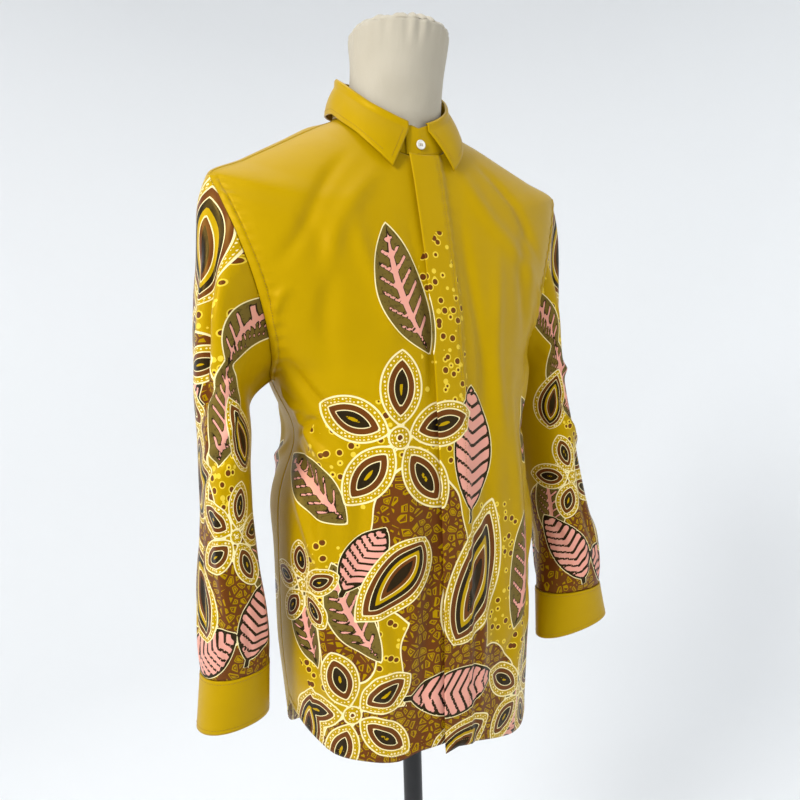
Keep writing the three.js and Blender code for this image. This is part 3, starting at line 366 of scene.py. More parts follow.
def build_sleeve(side):
    turn = np.arange(SLEEVE_COLUMNS) * 360 / SLEEVE_COLUMNS + 180
    angle = (turn if side == RIGHT else -turn) % 360
    fall = np.linspace(1, 0, SLEEVE_ROWS)[:, None] ** 1.15
    angle, fall = np.broadcast_arrays(angle[None, :], fall)
    start = armhole(side, angle) + (side * SLEEVE_GAP, 0, 0)
    z = start[..., 2] + (CUFF_TOP + 0.35 - start[..., 2]) * fall
    inset = 0
    for whose, top, foot, z_top, z_foot, width, depth in SLEEVE_VALLEYS:
        if whose == side:
            share = np.clip((z_top - z) / (z_top - z_foot), 0, 1)
            fade = smoothstep(z, z_foot - 55, z_foot + 55)
            inset = inset + depth * fade * bell((angle - top - (foot - top) * share) / width)
    drop = (start[..., 2] - z) / read(SETTLE, "angle", "drop", angle)
    settled = (1 - (1 - np.minimum(drop, 1)) ** 2.2)[..., None]
    places = start * (1 - settled) + oval(SLEEVES[side], side, angle, z, inset) * settled
    places[..., 2] = z
    closed = np.concatenate([places, places[:, :1]], axis=1)
    ahead = path_length(closed, 1)
    s = (ahead / ahead[:, -1:] - 0.5) * 280 * -side
    return {"places": places, "s": s[:, :-1], "s_end": s[:, -1], "z": z, "angle": angle,
            "around": True}


CUFF_ROWS, CUFF_COLUMNS = 26, 120


def build_cuff(side):
    turn = np.arange(CUFF_COLUMNS) * 360 / CUFF_COLUMNS + 180
    angle = (turn if side == RIGHT else -turn) % 360
    z = np.linspace(CUFFS[side]["z"][0], CUFF_TOP, CUFF_ROWS)[:, None]
    angle, z = np.broadcast_arrays(angle[None, :], z)
    places = oval(CUFFS[side], side, angle, z, 0)
    lean = read(CUFFS[side], "z", "lean", z)
    rise = lean * (side * places[..., 0] - read(CUFFS[side], "z", "x_centre", z))
    places[..., 2] = z + rise
    return {"places": places, "s": angle * 0.7, "z": z, "angle": angle, "around": True}


# ------------------------------------------------------------------ collar

STAND_COLUMNS, STAND_ROWS = 230, 18


def stand_foot(angle):
    share = np.clip(np.abs(angle) / 90, 0, 1)
    right = panel(FRONTS[RIGHT], RIGHT, share, NECK_LEVEL + 0 * share)
    left = panel(FRONTS[LEFT], LEFT, share, NECK_LEVEL + 0 * share)
    front = np.where((angle < 0)[..., None], right, left)
    behind = loop(BACK_NECKLINE, np.where(angle < 0, -1, 1) * np.clip(np.abs(angle), 90, 180))
    return np.where((np.abs(angle) <= 90)[..., None], front, behind)


def build_stand():
    """Columns run from the end that lies over, on the wearer's right, round to the other."""
    end = 13
    turn = np.linspace(-end, 360 + end, STAND_COLUMNS)
    angle = np.where(turn > 180, turn - 360, turn)
    reach = np.minimum(turn + end, 360 + end - turn) * 1.3
    rounding = 1 - np.sqrt(np.clip(1 - np.clip(1 - reach / 9, 0, 1) ** 2, 0, 1))
    share = np.linspace(0, 1, STAND_ROWS)[:, None] * (1 - 0.28 * rounding)[None, :]
    foot = stand_foot(angle)[None] + (0, 0, 1.2)
    top = loop(STAND_TOP, angle)[None]
    places = foot + (top - foot) * share[..., None]
    under = smoothstep(turn, 320, 350)[None, :]
    places = places + stack(0, 2.3 * under, 0)
    return {"places": places, "s": turn * 1.1 + 0 * share, "z": places[..., 2]}


FALL_COLUMNS = 210
TURN_STEPS = [(-1.4, 2.3), (-0.3, 2.9), (1.0, 2.7), (2.2, 1.7), (2.9, 0.2), (3.2, -2.5), (3.4, -6)]


def build_fall():
    turn = np.linspace(10, 350, FALL_COLUMNS)
    angle = np.where(turn > 180, turn - 360, turn)
    top = loop(STAND_TOP, angle)
    away = unit(top * (1, 1, 0))
    rows = [top + away * out + (0, 0, up) for out, up in TURN_STEPS]
    edge = loop(COLLAR_EDGE, angle)
    last = rows[-1]
    for share in np.linspace(0, 1, 22)[1:]:
        rows.append(last + (edge - last) * share + away * 10 * share * (1 - share))
    places = np.stack(rows[::-1])
    return {"places": places, "s": turn * 1.2 + 0 * places[..., 2], "z": places[..., 2]}


# ------------------------------------------------------------------ creases

CREASE_DEPTH, CREASE_WIDTH = 2.1, 0.58


def crease(field, s, z, rows):
    """Adds soft troughs and ridges: s0 z0 s1 z1 width depth, each along one straight line."""
    for s0, z0, s1, z1, width, depth in rows:
        length = math.hypot(s1 - s0, z1 - z0)
        along = ((s - s0) * (s1 - s0) + (z - z0) * (z1 - z0)) / length
        aside = ((s - s0) * (z1 - z0) - (z - z0) * (s1 - s0)) / length
        t = along / length
        width = width * CREASE_WIDTH
        wander = 0.8 * width * np.sin(t * 4.3 + s0)
        fade = smoothstep(t, -0.15, 0.3) * (1 - smoothstep(t, 0.7, 1.15))
        field = field + CREASE_DEPTH * depth * fade * bell((aside + wander) / width)
    return field


# On a front, s runs from the centre line, minus to the wearer's right.
RIGHT_FRONT_CREASES = [
    (-60, 1390, -150, 1250, 20, 2.2), (-90, 1400, -185, 1290, 14, -1.8), (-150, 1330, -120, 1180, 22, -2.0),
    (-70, 1180, -62, 800, 26, 2.6), (-118, 1120, -104, 760, 22, -2.6), (-155, 1090, -146, 770, 18, 2.4),
    (-178, 1190, -120, 1090, 12, -2.4), (-192, 1130, -128, 1062, 11, 2.2), (-200, 1080, -136, 1034, 10, -2.6),
    (-200, 1040, -150, 960, 12, 2.4), (-186, 990, -170, 820, 14, -2.2), (-30, 1000, -34, 740, 18, -1.6),
    (-95, 940, -92, 730, 16, 1.8), (-205, 1150, -176, 1128, 7, 1.8), (-196, 1210, -170, 1262, 10, 1.6),
    (-26, 1330, -20, 1120, 14, -1.4), (-196, 1100, -150, 1120, 7, -1.8), (-84, 1340, -70, 1200, 18, 1.6),
    (-140, 860, -60, 760, 14, 1.5)]
LEFT_FRONT_CREASES = [
    (60, 1390, 150, 1260, 20, 2.0), (95, 1400, 176, 1300, 14, -1.6), (148, 1330, 128, 1200, 20, -2.0),
    (66, 1200, 58, 760, 26, -2.4), (112, 1150, 100, 720, 24, 2.8), (150, 1110, 140, 740, 18, -2.4),
    (176, 1180, 128, 1090, 12, 2.2), (190, 1110, 140, 1050, 11, -2.2), (196, 1040, 160, 900, 13, 2.2),
    (38, 1020, 44, 730, 14, 1.6), (180, 930, 172, 780, 13, -2.0), (190, 1206, 168, 1262, 10, 1.5),
    (48, 1340, 52, 1130, 14, -1.6), (84, 1300, 88, 1060, 18, 1.6), (140, 880, 70, 770, 14, -1.4)]
BACK_CREASES = [
    (0, 1340, 4, 760, 30, -2.4), (48, 1340, 58, 720, 26, 2.6), (-52, 1340, -60, 720, 26, 2.4),
    (104, 1320, 110, 780, 22, -2.8), (-108, 1320, -104, 760, 22, -2.6), (150, 1230, 142, 900, 18, 2.6),
    (-150, 1220, -146, 880, 18, 2.8), (186, 1160, 96, 1068, 13, -2.4), (-190, 1160, -92, 1064, 13, -2.6),
    (190, 1090, 110, 1012, 12, 2.2), (-192, 1084, -104, 1004, 12, 2.6), (178, 1000, 120, 930, 12, -2.2),
    (-180, 996, -118, 926, 12, -2.4), (20, 900, 26, 700, 18, 1.8), (-24, 940, -22, 700, 16, -1.6)]
# On a sleeve, s runs round it from the underarm seam, the front of the arm towards plus.
RIGHT_SLEEVE_CREASES = [
    (62, 1310, 40, 1080, 13, 2.2), (20, 1370, 8, 1150, 16, -2.0), (-20, 1370, -34, 1130, 16, 2.2),
    (90, 1190, 20, 1118, 10, -2.4), (100, 1150, 34, 1082, 9, 2.0), (84, 1100, 14, 1052, 9, -2.2),
    (60, 1060, 46, 900, 12, 2.2), (16, 1040, 6, 880, 14, -2.2), (-40, 1080, -46, 890, 15, 2.4),
    (-84, 1230, -76, 1060, 15, -2.6), (-110, 1180, -30, 1096, 10, 2.2), (-96, 1070, -90, 900, 13, -2.2),
    (110, 990, 96, 860, 10, 1.8), (74, 930, 70, 850, 7, -1.4), (36, 930, 34, 850, 7, 1.3),
    (-8, 920, -10, 850, 7, -1.4), (-60, 930, -62, 850, 8, 1.5), (-110, 930, -108, 850, 8, -1.5)]
LEFT_SLEEVE_CREASES = [
    (60, 1320, 44, 1110, 13, -2.2), (24, 1370, 14, 1160, 16, 2.0), (-18, 1370, -30, 1120, 16, -2.2),
    (96, 1180, 24, 1112, 10, 2.4), (104, 1130, 40, 1064, 9, -2.2), (80, 1086, 10, 1036, 10, 2.2),
    (56, 1060, 50, 890, 12, -2.4), (10, 1050, 4, 880, 14, 2.2), (-44, 1090, -40, 890, 15, -2.4),
    (-86, 1240, -80, 1050, 15, 2.6), (-112, 1170, -36, 1088, 10, -2.2), (-94, 1060, -92, 890, 13, 2.2),
    (108, 980, 98, 860, 10, -1.8), (70, 930, 68, 850, 7, 1.4), (30, 930, 30, 850, 7, -1.4),
    (-12, 920, -12, 850, 7, 1.4), (-64, 930, -62, 850, 8, -1.5), (-112, 930, -110, 850, 8, 1.5)]
YOKE_CREASES = [(-70, 1480, -170, 1400, 14, 1.2), (70, 1480, 170, 1400, 14, 1.2)]


def press(piece, rows, keep_edge=True):
    """Moves a piece's points by its creases, which fade out at its edges."""
    depth = crease(0 * piece["z"], piece["s"], piece["z"], rows)
    count_rows, count_columns = depth.shape
    if keep_edge:
        near = np.minimum(np.arange(count_rows), np.arange(count_rows)[::-1]) / 7
        depth = depth * np.clip(near, 0, 1)[:, None]
        if not piece.get("around"):
            near = np.minimum(np.arange(count_columns), np.arange(count_columns)[::-1]) / 7
            depth = depth * np.clip(near, 0, 1)[None, :]
    out = normals(piece["places"], piece.get("around", False))
    piece["places"] = piece["places"] + out * depth[..., None]
    piece["out"] = normals(piece["places"], piece.get("around", False))
    return piece


def pucker(piece, distance, along, reach, pitch, height):
    """Small ripples that a line of stitching draws into the cloth beside it."""
    ripple = np.sin(along * 2 * math.pi / pitch + 1.7 * np.sin(along / 23.0)) * bell(distance / reach)
    piece["places"] = piece["places"] + piece["out"] * (height * ripple)[..., None]


def raise_band(piece, distance, width, height, groove):
    """A felled band: cloth lies double up to width from the seam, and the stitches sink in."""
    band = height * (1 - smoothstep(distance, width - 0.8, width + 0.8)) * (distance > -0.1)
    sunk = groove * bell((distance - width) / 1.1)
    piece["places"] = piece["places"] + piece["out"] * (band - sunk)[..., None]


# ------------------------------------------------------------------ the print

# A generic border of flowers, paisleys, leaves and ferns. Each kind of motif is a distance to
# its own outline, plus inwards, kept on the cloth's points; the material bands it.
CLEAR = -60.0
BAND_HALF_WIDTH = 34.0           # half width of the motif whose bands have their true size


def lens(u, v, length, half_width):
    """Distance inside a shape of two arcs from u = 0 to length."""
    radius = (length * length / 4 + half_width * half_width) / (2 * half_width)
    return radius - np.hypot(u - length / 2, np.abs(v) + radius - half_width)


def turned(s, z, at_s, at_z, degrees):
    c, d = math.cos(math.radians(degrees)), math.sin(math.radians(degrees))
    return (s - at_s) * c + (z - at_z) * d, (z - at_z) * c - (s - at_s) * d


def flower(s, z, at_s, at_z, length, half_width, degrees, petals):
    best = np.full(np.shape(s), CLEAR)
    for k in range(petals):
        u, v = turned(s, z, at_s, at_z, degrees + 360 * k / petals)
        best = np.maximum(best, lens(u - 0.16 * length, v, length, half_width))
    heart = 0.15 * length - np.hypot(s - at_s, z - at_z)
    return np.maximum(best, heart) * BAND_HALF_WIDTH / half_width * 0.62


def paisley(s, z, at_s, at_z, length, half_width, degrees, bend):
    u, v = turned(s, z, at_s, at_z, degrees)
    share = np.clip(u / length, 0, 1.2)
    v = v - bend * length * share ** 2
    fuller = np.where(u > 0, length * np.clip(u / length, 1e-6, None) ** 0.78, u)
    return lens(fuller, v, length, half_width) * BAND_HALF_WIDTH / half_width


def leaf(s, z, at_s, at_z, length, half_width, degrees, bend):
    """A smooth leaf: its body, and its midrib with side veins."""
    u, v = turned(s, z, at_s, at_z, degrees)
    v = v - bend * length * np.sin(np.clip(u / length, 0, 1) * 3.2)
    body = lens(u, v, length, half_width)
    midrib = lens(u - 0.03 * length, v, 0.95 * length, 0.13 * half_width)
    slant = ((u - 0.9 * np.abs(v)) / (0.115 * length)) % 1
    side_vein = (0.13 - np.abs(slant - 0.5)) * 0.115 * length
    return body, np.maximum(midrib, np.minimum(side_vein, body - 0.22 * half_width))


def frond(s, z, at_s, at_z, length, half_width, degrees, bend):
    """A fern: leaflets on both sides of a bent stem."""
    u, v = turned(s, z, at_s, at_z, degrees)
    v = v - bend * length * np.clip(u / length, 0, 1) ** 2
    slant = ((u - 0.55 * np.abs(v)) / (0.105 * length)) % 1
    notch = np.abs(slant - 0.5) * 0.105 * length
    leaflet = np.minimum(lens(u, v, length, half_width), 0.047 * length - notch)
    stem = 1.6 - np.abs(v) - 99 * ((u < -0.1 * length) | (u > 0.96 * length))
    return np.maximum(leaflet, stem), leaflet


def patch(s, z, at_s, at_z, half_s, half_z):
    d = 1 - np.hypot((s - at_s) / half_s, (z - at_z) / half_z)
    wave = 2.2 * np.sin(s / 9.0) * np.cos(z / 11.0)
    return d * min(half_s, half_z) + wave


def printed(s, z, layout):
    """The print's distances on a piece, from its layout."""
    made = {name: np.full(np.shape(s), CLEAR) for name in ("pods", "leaf", "rib", "frond", "vein", "field", "dots")}
    for row in layout.get("flowers", ()):
        made["pods"] = np.maximum(made["pods"], flower(s, z, *row))
    for row in layout.get("paisleys", ()):
        made["pods"] = np.maximum(made["pods"], paisley(s, z, *row))
    for row in layout.get("leaves", ()):
        body, rib = leaf(s, z, *row)
        made["leaf"] = np.maximum(made["leaf"], body)
        made["rib"] = np.maximum(made["rib"], rib)
    for row in layout.get("fronds", ()):
        body, vein = frond(s, z, *row)
        made["vein"] = np.maximum(made["vein"], vein)
        made["frond"] = np.maximum(made["frond"], body)
    for row in layout.get("fields", ()):
        made["field"] = np.maximum(made["field"], patch(s, z, *row))
    for row in layout.get("dots", ()):
        made["dots"] = np.maximum(made["dots"], patch(s, z, *row))
    border = layout.get("border")
    if border:
        made["field"] = np.maximum(made["field"], border - z + 9 * np.sin(s / 17.0) + 4 * np.sin(s / 7.0))
    return made


# flowers: s z petal half_width turn count; paisleys, leaves and fronds: s z length half_width
# turn bend; fields and dots: s z half_s half_z. On the fronts s is 0 at the centre line.
FRONT_PRINT = {
    "flowers": [(-62, 1098, 82, 24, 12, 5), (-126, 782, 70, 21, 34, 5), (116, 752, 64, 20, 0, 5),
                (-186, 930, 46, 15, 20, 5)],
    "paisleys": [(-6, 852, 172, 41, 58, 0.15), (-38, 984, 122, 31, 236, -0.14), (-36, 716, 92, 27, 10, 0.12),
                 (-196, 716, 96, 26, 84, -0.10), (196, 836, 96, 25, 100, 0.12)],
    "leaves": [(-18, 1186, 150, 29, 106, 0.07), (-124, 1006, 112, 26, 142, -0.06), (-92, 846, 128, 24, 114, 0.07),
               (98, 838, 150, 27, 82, -0.07), (160, 1036, 92, 18, 104, 0.06), (-166, 836, 104, 21, 104, 0.06),
               (174, 720, 104, 22, 96, 0.06), (70, 690, 96, 21, 64, -0.06)],
    "fronds": [(24, 1004, 142, 30, 80, 0.10), (-58, 796, 116, 28, 352, 0.12), (-132, 930, 84, 21, 60, -0.10),
               (54, 694, 84, 23, 28, 0.10), (-84, 690, 80, 22, 160, 0.08), (150, 700, 84, 21, 20, 0.08)],
    "fields": [(-44, 976, 58, 92), (-10, 836, 60, 100), (36, 770, 62, 66), (-88, 742, 76, 48),
               (-128, 872, 34, 56), (150, 748, 50, 52)],
    "dots": [(0, 1190, 30, 130), (-66, 900, 92, 92), (66, 900, 58, 116), (-150, 890, 50, 100),
             (110, 800, 84, 80), (-90, 1080, 80, 60)],
    "border": 748}
BACK_PRINT = {
    "flowers": [(4, 968, 80, 23, 10, 6), (-136, 794, 68, 20.5, 20, 5), (112, 748, 64, 19.5, 30, 5),
                (182, 902, 48, 15, 12, 5)],
    "paisleys": [(-62, 830, 150, 38, 104, 0.15), (44, 816, 148, 38, 66, -0.15), (168, 790, 104, 27, 98, 0.14),
                 (-40, 712, 100, 27, 12, 0.12), (-190, 700, 96, 25, 78, 0.12)],
    "leaves": [(-30, 1052, 152, 28, 106, 0.07), (56, 1056, 130, 25, 72, -0.07), (-112, 972, 124, 24, 118, 0.07),
               (126, 970, 120, 24, 70, -0.07), (-196, 836, 104, 21, 98, 0.06), (204, 716, 92, 19, 96, 0.06)],
    "fronds": [(-8, 792, 116, 26, 88, 0.10), (-126, 700, 96, 24, 24, 0.10), (36, 700, 84, 21, 36, -0.10),
               (-118, 890, 84, 21, 70, 0.08), (120, 880, 80, 20, 112, 0.08)],
    "fields": [(0, 884, 66, 104), (-74, 790, 76, 76), (88, 784, 76, 76), (-160, 752, 56, 56)],
    "dots": [(0, 1106, 60, 110), (-120, 900, 76, 110), (120, 900, 76, 110)],
    "border": 744}
SLEEVE_PRINT = {
    "flowers": [(-8, 1176, 60, 19, 14, 5), (74, 1006, 52, 17, 0, 5), (-92, 1026, 56, 18, 20, 5)],
    "paisleys": [(24, 1246, 132, 32, 86, 0.14), (2, 1012, 112, 30, 84, -0.14), (-70, 1096, 118, 28, 104, 0.14),
                 (18, 886, 116, 31, 100, 0.14), (-112, 896, 96, 25, 80, -0.14), (104, 1072, 84, 22, 100, 0.12)],
    "leaves": [(-42, 1236, 150, 27, 96, 0.07), (54, 1080, 118, 24, 78, -0.07), (-44, 900, 120, 25, 104, 0.07),
               (118, 916, 96, 21, 92, 0.06), (-108, 1180, 116, 23, 94, 0.06), (78, 1180, 96, 20, 70, 0.06)],
    "fronds": [(-28, 856, 96, 26, 20, 0.10), (70, 862, 100, 26, 66, -0.10), (-80, 858, 84, 23, 112, 0.08),
               (-52, 1010, 84, 21, 66, 0.08), (30, 1150, 84, 21, 120, 0.08)],
    "fields": [(0, 1000, 60, 84), (-70, 970, 56, 92), (12, 1146, 50, 76), (92, 930, 56, 84),
               (-30, 1230, 34, 60)],
    "dots": [(6, 1150, 92, 240), (-90, 1110, 66, 190), (70, 960, 70, 90)],
    "border": 904}
PLAIN = {}


# ------------------------------------------------------------------ meshes

def new_object(name, points, faces, smooth=True):
    mesh = bpy.data.meshes.new(name)
    mesh.from_pydata((np.asarray(points).reshape(-1, 3) * MM).tolist(), [], faces)
    mesh.polygons.foreach_set("use_smooth", [smooth] * len(mesh.polygons))
    piece = bpy.data.objects.new(name, mesh)
    bpy.context.scene.collection.objects.link(piece)
    return piece


def grid_faces(rows, columns, around=False):
    r, c = np.meshgrid(np.arange(rows - 1), np.arange(columns if around else columns - 1), indexing="ij")
    n = (c + 1) % columns
    return np.stack([r * columns + c, r * columns + n, (r + 1) * columns + n, (r + 1) * columns + c],
                    axis=-1).reshape(-1, 4).tolist()


def sheet(name, piece, layout, node, flat, area, rests_on, thickness=SHELL, slot="batik_cloth"):
    """One panel of the shirt as a thin shell, with its print on its points."""
    rows, columns = piece["z"].shape
    around = piece.get("around", False)
    made = new_object(name, piece["places"], grid_faces(rows, columns, around))
    for label, values in printed(piece["s"], piece["z"], layout).items():
        layer = made.data.attributes.new(label, "FLOAT", "POINT")
        layer.data.foreach_set("value", np.ascontiguousarray(values, dtype=np.float32).ravel())
    place = np.stack([piece["s"], piece["z"]], axis=-1).reshape(-1, 2) * MM
    corners = np.zeros(len(made.data.loops), dtype=np.int32)
    made.data.loops.foreach_get("vertex_index", corners)
    flat_place = place[corners]
    if around:
        first = corners % columns == 0
        last_in_face = np.repeat(np.any((corners.reshape(-1, 4) % columns) == columns - 1, axis=1), 4)
        width = float(np.ptp(piece["s"])) * MM * columns / (columns - 1)
        flat_place[:, 0] += np.where(first & last_in_face, width, 0)
    uv = made.data.uv_layers.new(name="Cloth")
    uv.data.foreach_set("uv", flat_place.astype(np.float32).ravel())
    solid = made.modifiers.new("wall", "SOLIDIFY")
    solid.thickness = thickness * MM
    solid.offset = -1
    made.data.materials.append(batik)
    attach(made, "root")
    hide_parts(node)
    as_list(rests_on)
    return made


def sample(piece, rows, columns):
    """Points and outward directions of a piece at rows and columns between its own."""
    height, width = piece["z"].shape
    r0 = np.clip(np.floor(rows).astype(int), 0, height - 2)
    c0 = np.floor(columns).astype(int)
    around = piece.get("around", False)
    c0 = c0 % width if around else np.clip(c0, 0, width - 2)
    c1 = (c0 + 1) % width
    fr, fc = (rows - r0)[:, None], (columns - np.floor(columns))[:, None]

    def mix(grid):
        low = grid[r0, c0] * (1 - fc) + grid[r0, c1] * fc
        high = grid[r0 + 1, c0] * (1 - fc) + grid[r0 + 1, c1] * fc
        return low * (1 - fr) + high * fr
    return mix(piece["places"]), unit(mix(piece["out"]))


def column_where(field, value, rows):
    """The column at which a field that grows along its row reaches a value, for each row."""
    columns = np.arange(field.shape[1])
    value = np.broadcast_to(value, len(rows))
    return np.array([np.interp(v, field[r], columns) for r, v in zip(rows, value)])


def row_where(piece, distance, columns, from_top=False):
    up = path_length(piece["places"], 0)
    if from_top:
        up = up - up[-1]
    rows = np.arange(up.shape[0])
    return np.array([np.interp(distance, up[:, c], rows) for c in columns])


STITCH_LENGTH, STITCH_PITCH, STITCH_RADIUS = 2.3, 3.1, 0.26


def stitch_row(points, outs, store):
    """Stitches laid end to end along a line of points."""
    step = np.linalg.norm(np.diff(points, axis=0), axis=1)
    along = np.concatenate([[0], np.cumsum(step)])
    places = np.arange(0.8, along[-1] - STITCH_LENGTH, STITCH_PITCH)

    def at(distance, grid):
        return np.stack([np.interp(distance, along, grid[:, k]) for k in range(3)], axis=-1)
    a, b = at(places, points), at(places + STITCH_LENGTH, points)
    out = unit(at(places + STITCH_LENGTH / 2, outs))
    a, b = a + out * 0.12, b + out * 0.12
    side = unit(np.cross(b - a, out))
    for k in range(len(places)):
        base = len(store["points"])
        ring = [side[k], out[k], -side[k], -out[k]]
        middle = [a[k] * 0.78 + b[k] * 0.22, a[k] * 0.22 + b[k] * 0.78]
        store["points"] += [a[k], *[middle[0] + d * STITCH_RADIUS for d in ring],
                            *[middle[1] + d * STITCH_RADIUS for d in ring], b[k]]
        for j in range(4):
            n = (j + 1) % 4
            store["faces"] += [(base, base + 1 + j, base + 1 + n),
                               (base + 1 + j, base + 5 + j, base + 5 + n, base + 1 + n),
                               (base + 5 + j, base + 9, base + 5 + n)]


# ------------------------------------------------------------------ materials

def linear(red, green, blue):
    def one(value):
        value = value / 255
        return value / 12.92 if value <= 0.04045 else ((value + 0.055) / 1.055) ** 2.4
    return (one(red), one(green), one(blue), 1.0)


class Graph:
    """A short way to build one material's nodes."""

    def __init__(self, name):
        self.material = bpy.data.materials.new(name)
        self.material.use_nodes = True
        self.nodes = self.material.node_tree.nodes
        self.links = self.material.node_tree.links
        self.shader = self.nodes["Principled BSDF"]

    def put(self, socket, value):
        if isinstance(value, bpy.types.NodeSocket):
            self.links.new(value, socket)
        else:
            socket.default_value = value

    def math(self, kind, a, b=0.0, c=None):
        node = self.nodes.new("ShaderNodeMath")
        node.operation = kind
        self.put(node.inputs[0], a)
        self.put(node.inputs[1], b)
        if c is not None:
            self.put(node.inputs[2], c)
        return node.outputs[0]

    def over(self, value, edge):
        return self.math("GREATER_THAN", value, edge)

    def between(self, value, low, high):
        return self.math("MULTIPLY", self.over(value, low), self.math("LESS_THAN", value, high))

    def mix(self, factor, below, above):
        node = self.nodes.new("ShaderNodeMix")
        node.data_type = "RGBA"
        self.put(node.inputs[0], factor)
        self.put(node.inputs[6], below)
        self.put(node.inputs[7], above)
        return node.outputs[2]

    def attribute(self, name):
        node = self.nodes.new("ShaderNodeAttribute")
        node.attribute_name = name
        return node.outputs["Fac"]

    def coordinates(self, kind, scale):
        source = self.nodes.new("ShaderNodeTexCoord")
        node = self.nodes.new("ShaderNodeMapping")
        node.inputs["Scale"].default_value = (scale, scale, scale) if np.isscalar(scale) else scale
        self.links.new(source.outputs[kind], node.inputs["Vector"])
        return node.outputs["Vector"]

    def texture(self, kind, vector, output, **settings):
        node = self.nodes.new(kind)
        node.inputs["Scale"].default_value = 1.0
        for key, value in settings.items():
            if hasattr(node, key):
                setattr(node, key, value)
            else:
                node.inputs[key.replace("_", " ").title()].default_value = value
        self.links.new(vector, node.inputs["Vector"])
        return node.outputs[output]

    def bump(self, height, strength, distance, after=None):
        node = self.nodes.new("ShaderNodeBump")
        node.inputs["Strength"].default_value = strength
        node.inputs["Distance"].default_value = distance
        self.links.new(height, node.inputs["Height"])
        if after is not None:
            self.links.new(after, node.inputs["Normal"])
        return node.outputs["Normal"]

    def shade(self, **values):
        for key, value in values.items():
            self.put(self.shader.inputs[key.replace("_", " ")], value)
        return self.material


GOLD, DEEP_GOLD = linear(181, 146, 3), linear(164, 130, 2)
BROWN, DARK = linear(98, 50, 22), linear(16, 13, 17)
OLIVE, PINK = linear(104, 88, 40), linear(226, 158, 142)
CREAM, BRIGHT = linear(240, 226, 170), linear(226, 196, 60)


def batik_material():
    g = Graph("batik")
    small = g.texture("ShaderNodeTexNoise", g.coordinates("Object", 26), "Fac", Detail=3.0)
    ground = g.mix(g.math("MULTIPLY", small, 0.55), GOLD, DEEP_GOLD)

    cells = g.coordinates("UV", 1000 / 9.5)
    edge = g.texture("ShaderNodeTexVoronoi", cells, "Distance", feature="DISTANCE_TO_EDGE", Randomness=0.85)
    near = g.texture("ShaderNodeTexVoronoi", g.coordinates("UV", 1000 / 11), "Distance", feature="F1",
                     Randomness=0.75)
    field = g.attribute("field")
    pebbles = g.mix(g.over(edge, 0.13), BROWN, DEEP_GOLD)
    pebbles = g.mix(g.between(edge, 0.23, 0.30), pebbles, BROWN)
    colour = g.mix(g.over(field, 0.0), ground, pebbles)
    colour = g.mix(g.between(field, -0.6, 0.9), colour, CREAM)

    dots_here = g.math("MULTIPLY", g.over(g.attribute("dots"), 0.0), g.math("LESS_THAN", field, -1.5))
    ring = g.math("MULTIPLY", dots_here, g.math("LESS_THAN", near, 0.42))
    spot = g.math("MULTIPLY", dots_here, g.math("LESS_THAN", near, 0.31))
    colour = g.mix(ring, colour, BRIGHT)
    colour = g.mix(spot, colour, BROWN)

    leaf_at, rib = g.attribute("leaf"), g.attribute("rib")
    colour = g.mix(g.over(leaf_at, -0.7), colour, CREAM)
    grain = g.texture("ShaderNodeTexNoise", g.coordinates("UV", 240), "Fac", Detail=1.0)
    colour = g.mix(g.over(leaf_at, 0.6), colour, g.mix(g.over(grain, 0.60), OLIVE, linear(86, 72, 34)))
    inside = g.over(leaf_at, 0.6)
    colour = g.mix(g.math("MULTIPLY", g.over(rib, -0.7), inside), colour, DARK)
    colour = g.mix(g.math("MULTIPLY", g.over(rib, 0.1), inside), colour, PINK)

    frond_at = g.attribute("frond")
    colour = g.mix(g.over(frond_at, -2.2), colour, CREAM)
    colour = g.mix(g.over(frond_at, -1.3), colour, DARK)
    colour = g.mix(g.over(g.attribute("vein"), 1.3), colour, PINK)

    pods = g.attribute("pods")
    bands = ((-0.9, CREAM), (0.9, GOLD), (6.6, CREAM), (8.0, BROWN), (13.4, CREAM), (14.3, DARK),
             (19.4, GOLD), (23.2, CREAM), (24.1, BROWN), (28.0, DARK))
    for start, tint in bands:
        colour = g.mix(g.over(pods, start), colour, tint)
    fine = g.texture("ShaderNodeTexVoronoi", g.coordinates("UV", 1000 / 4.2), "Distance", feature="F1", Randomness=0.25)
    beads = g.math("MULTIPLY", g.between(pods, 2.0, 5.6), g.math("LESS_THAN", fine, 0.30))
    colour = g.mix(beads, colour, CREAM)

    warp = g.texture("ShaderNodeTexWave", g.coordinates("UV", 700), "Fac", bands_direction="DIAGONAL",
                     Distortion=0.6)
    slub = g.texture("ShaderNodeTexNoise", g.coordinates("UV", (900, 90, 90)), "Fac", Detail=2.0)
    rumple = g.texture("ShaderNodeTexNoise", g.coordinates("Object", 38), "Fac", Detail=2.0)
    normal = g.bump(rumple, 0.35, 0.0012)
    normal = g.bump(slub, 0.18, 0.0003, normal)
    normal = g.bump(warp, 0.20, 0.0001, normal)
    return g.shade(Base_Color=colour, Roughness=0.4,
                   Specular_IOR_Level=0.4, Specular_Tint=linear(236, 190, 60), Normal=normal)


def thread_material():
    g = Graph("thread")
    twist = g.texture("ShaderNodeTexWave", g.coordinates("Object", 2400), "Fac", bands_direction="DIAGONAL")
    colour = g.mix(twist, linear(122, 88, 6), linear(156, 120, 14))
    return g.shade(Base_Color=colour, Roughness=0.5, Normal=g.bump(twist, 0.3, 0.0001))


def pearl_material():
    g = Graph("pearl")
    cloud = g.texture("ShaderNodeTexNoise", g.coordinates("Object", 260), "Fac", Detail=3.0, Distortion=1.2)
    colour = g.mix(cloud, linear(206, 204, 196), linear(240, 238, 230))
    return g.shade(Base_Color=colour, Roughness=0.22, Coat_Weight=0.4, Coat_Roughness=0.12)


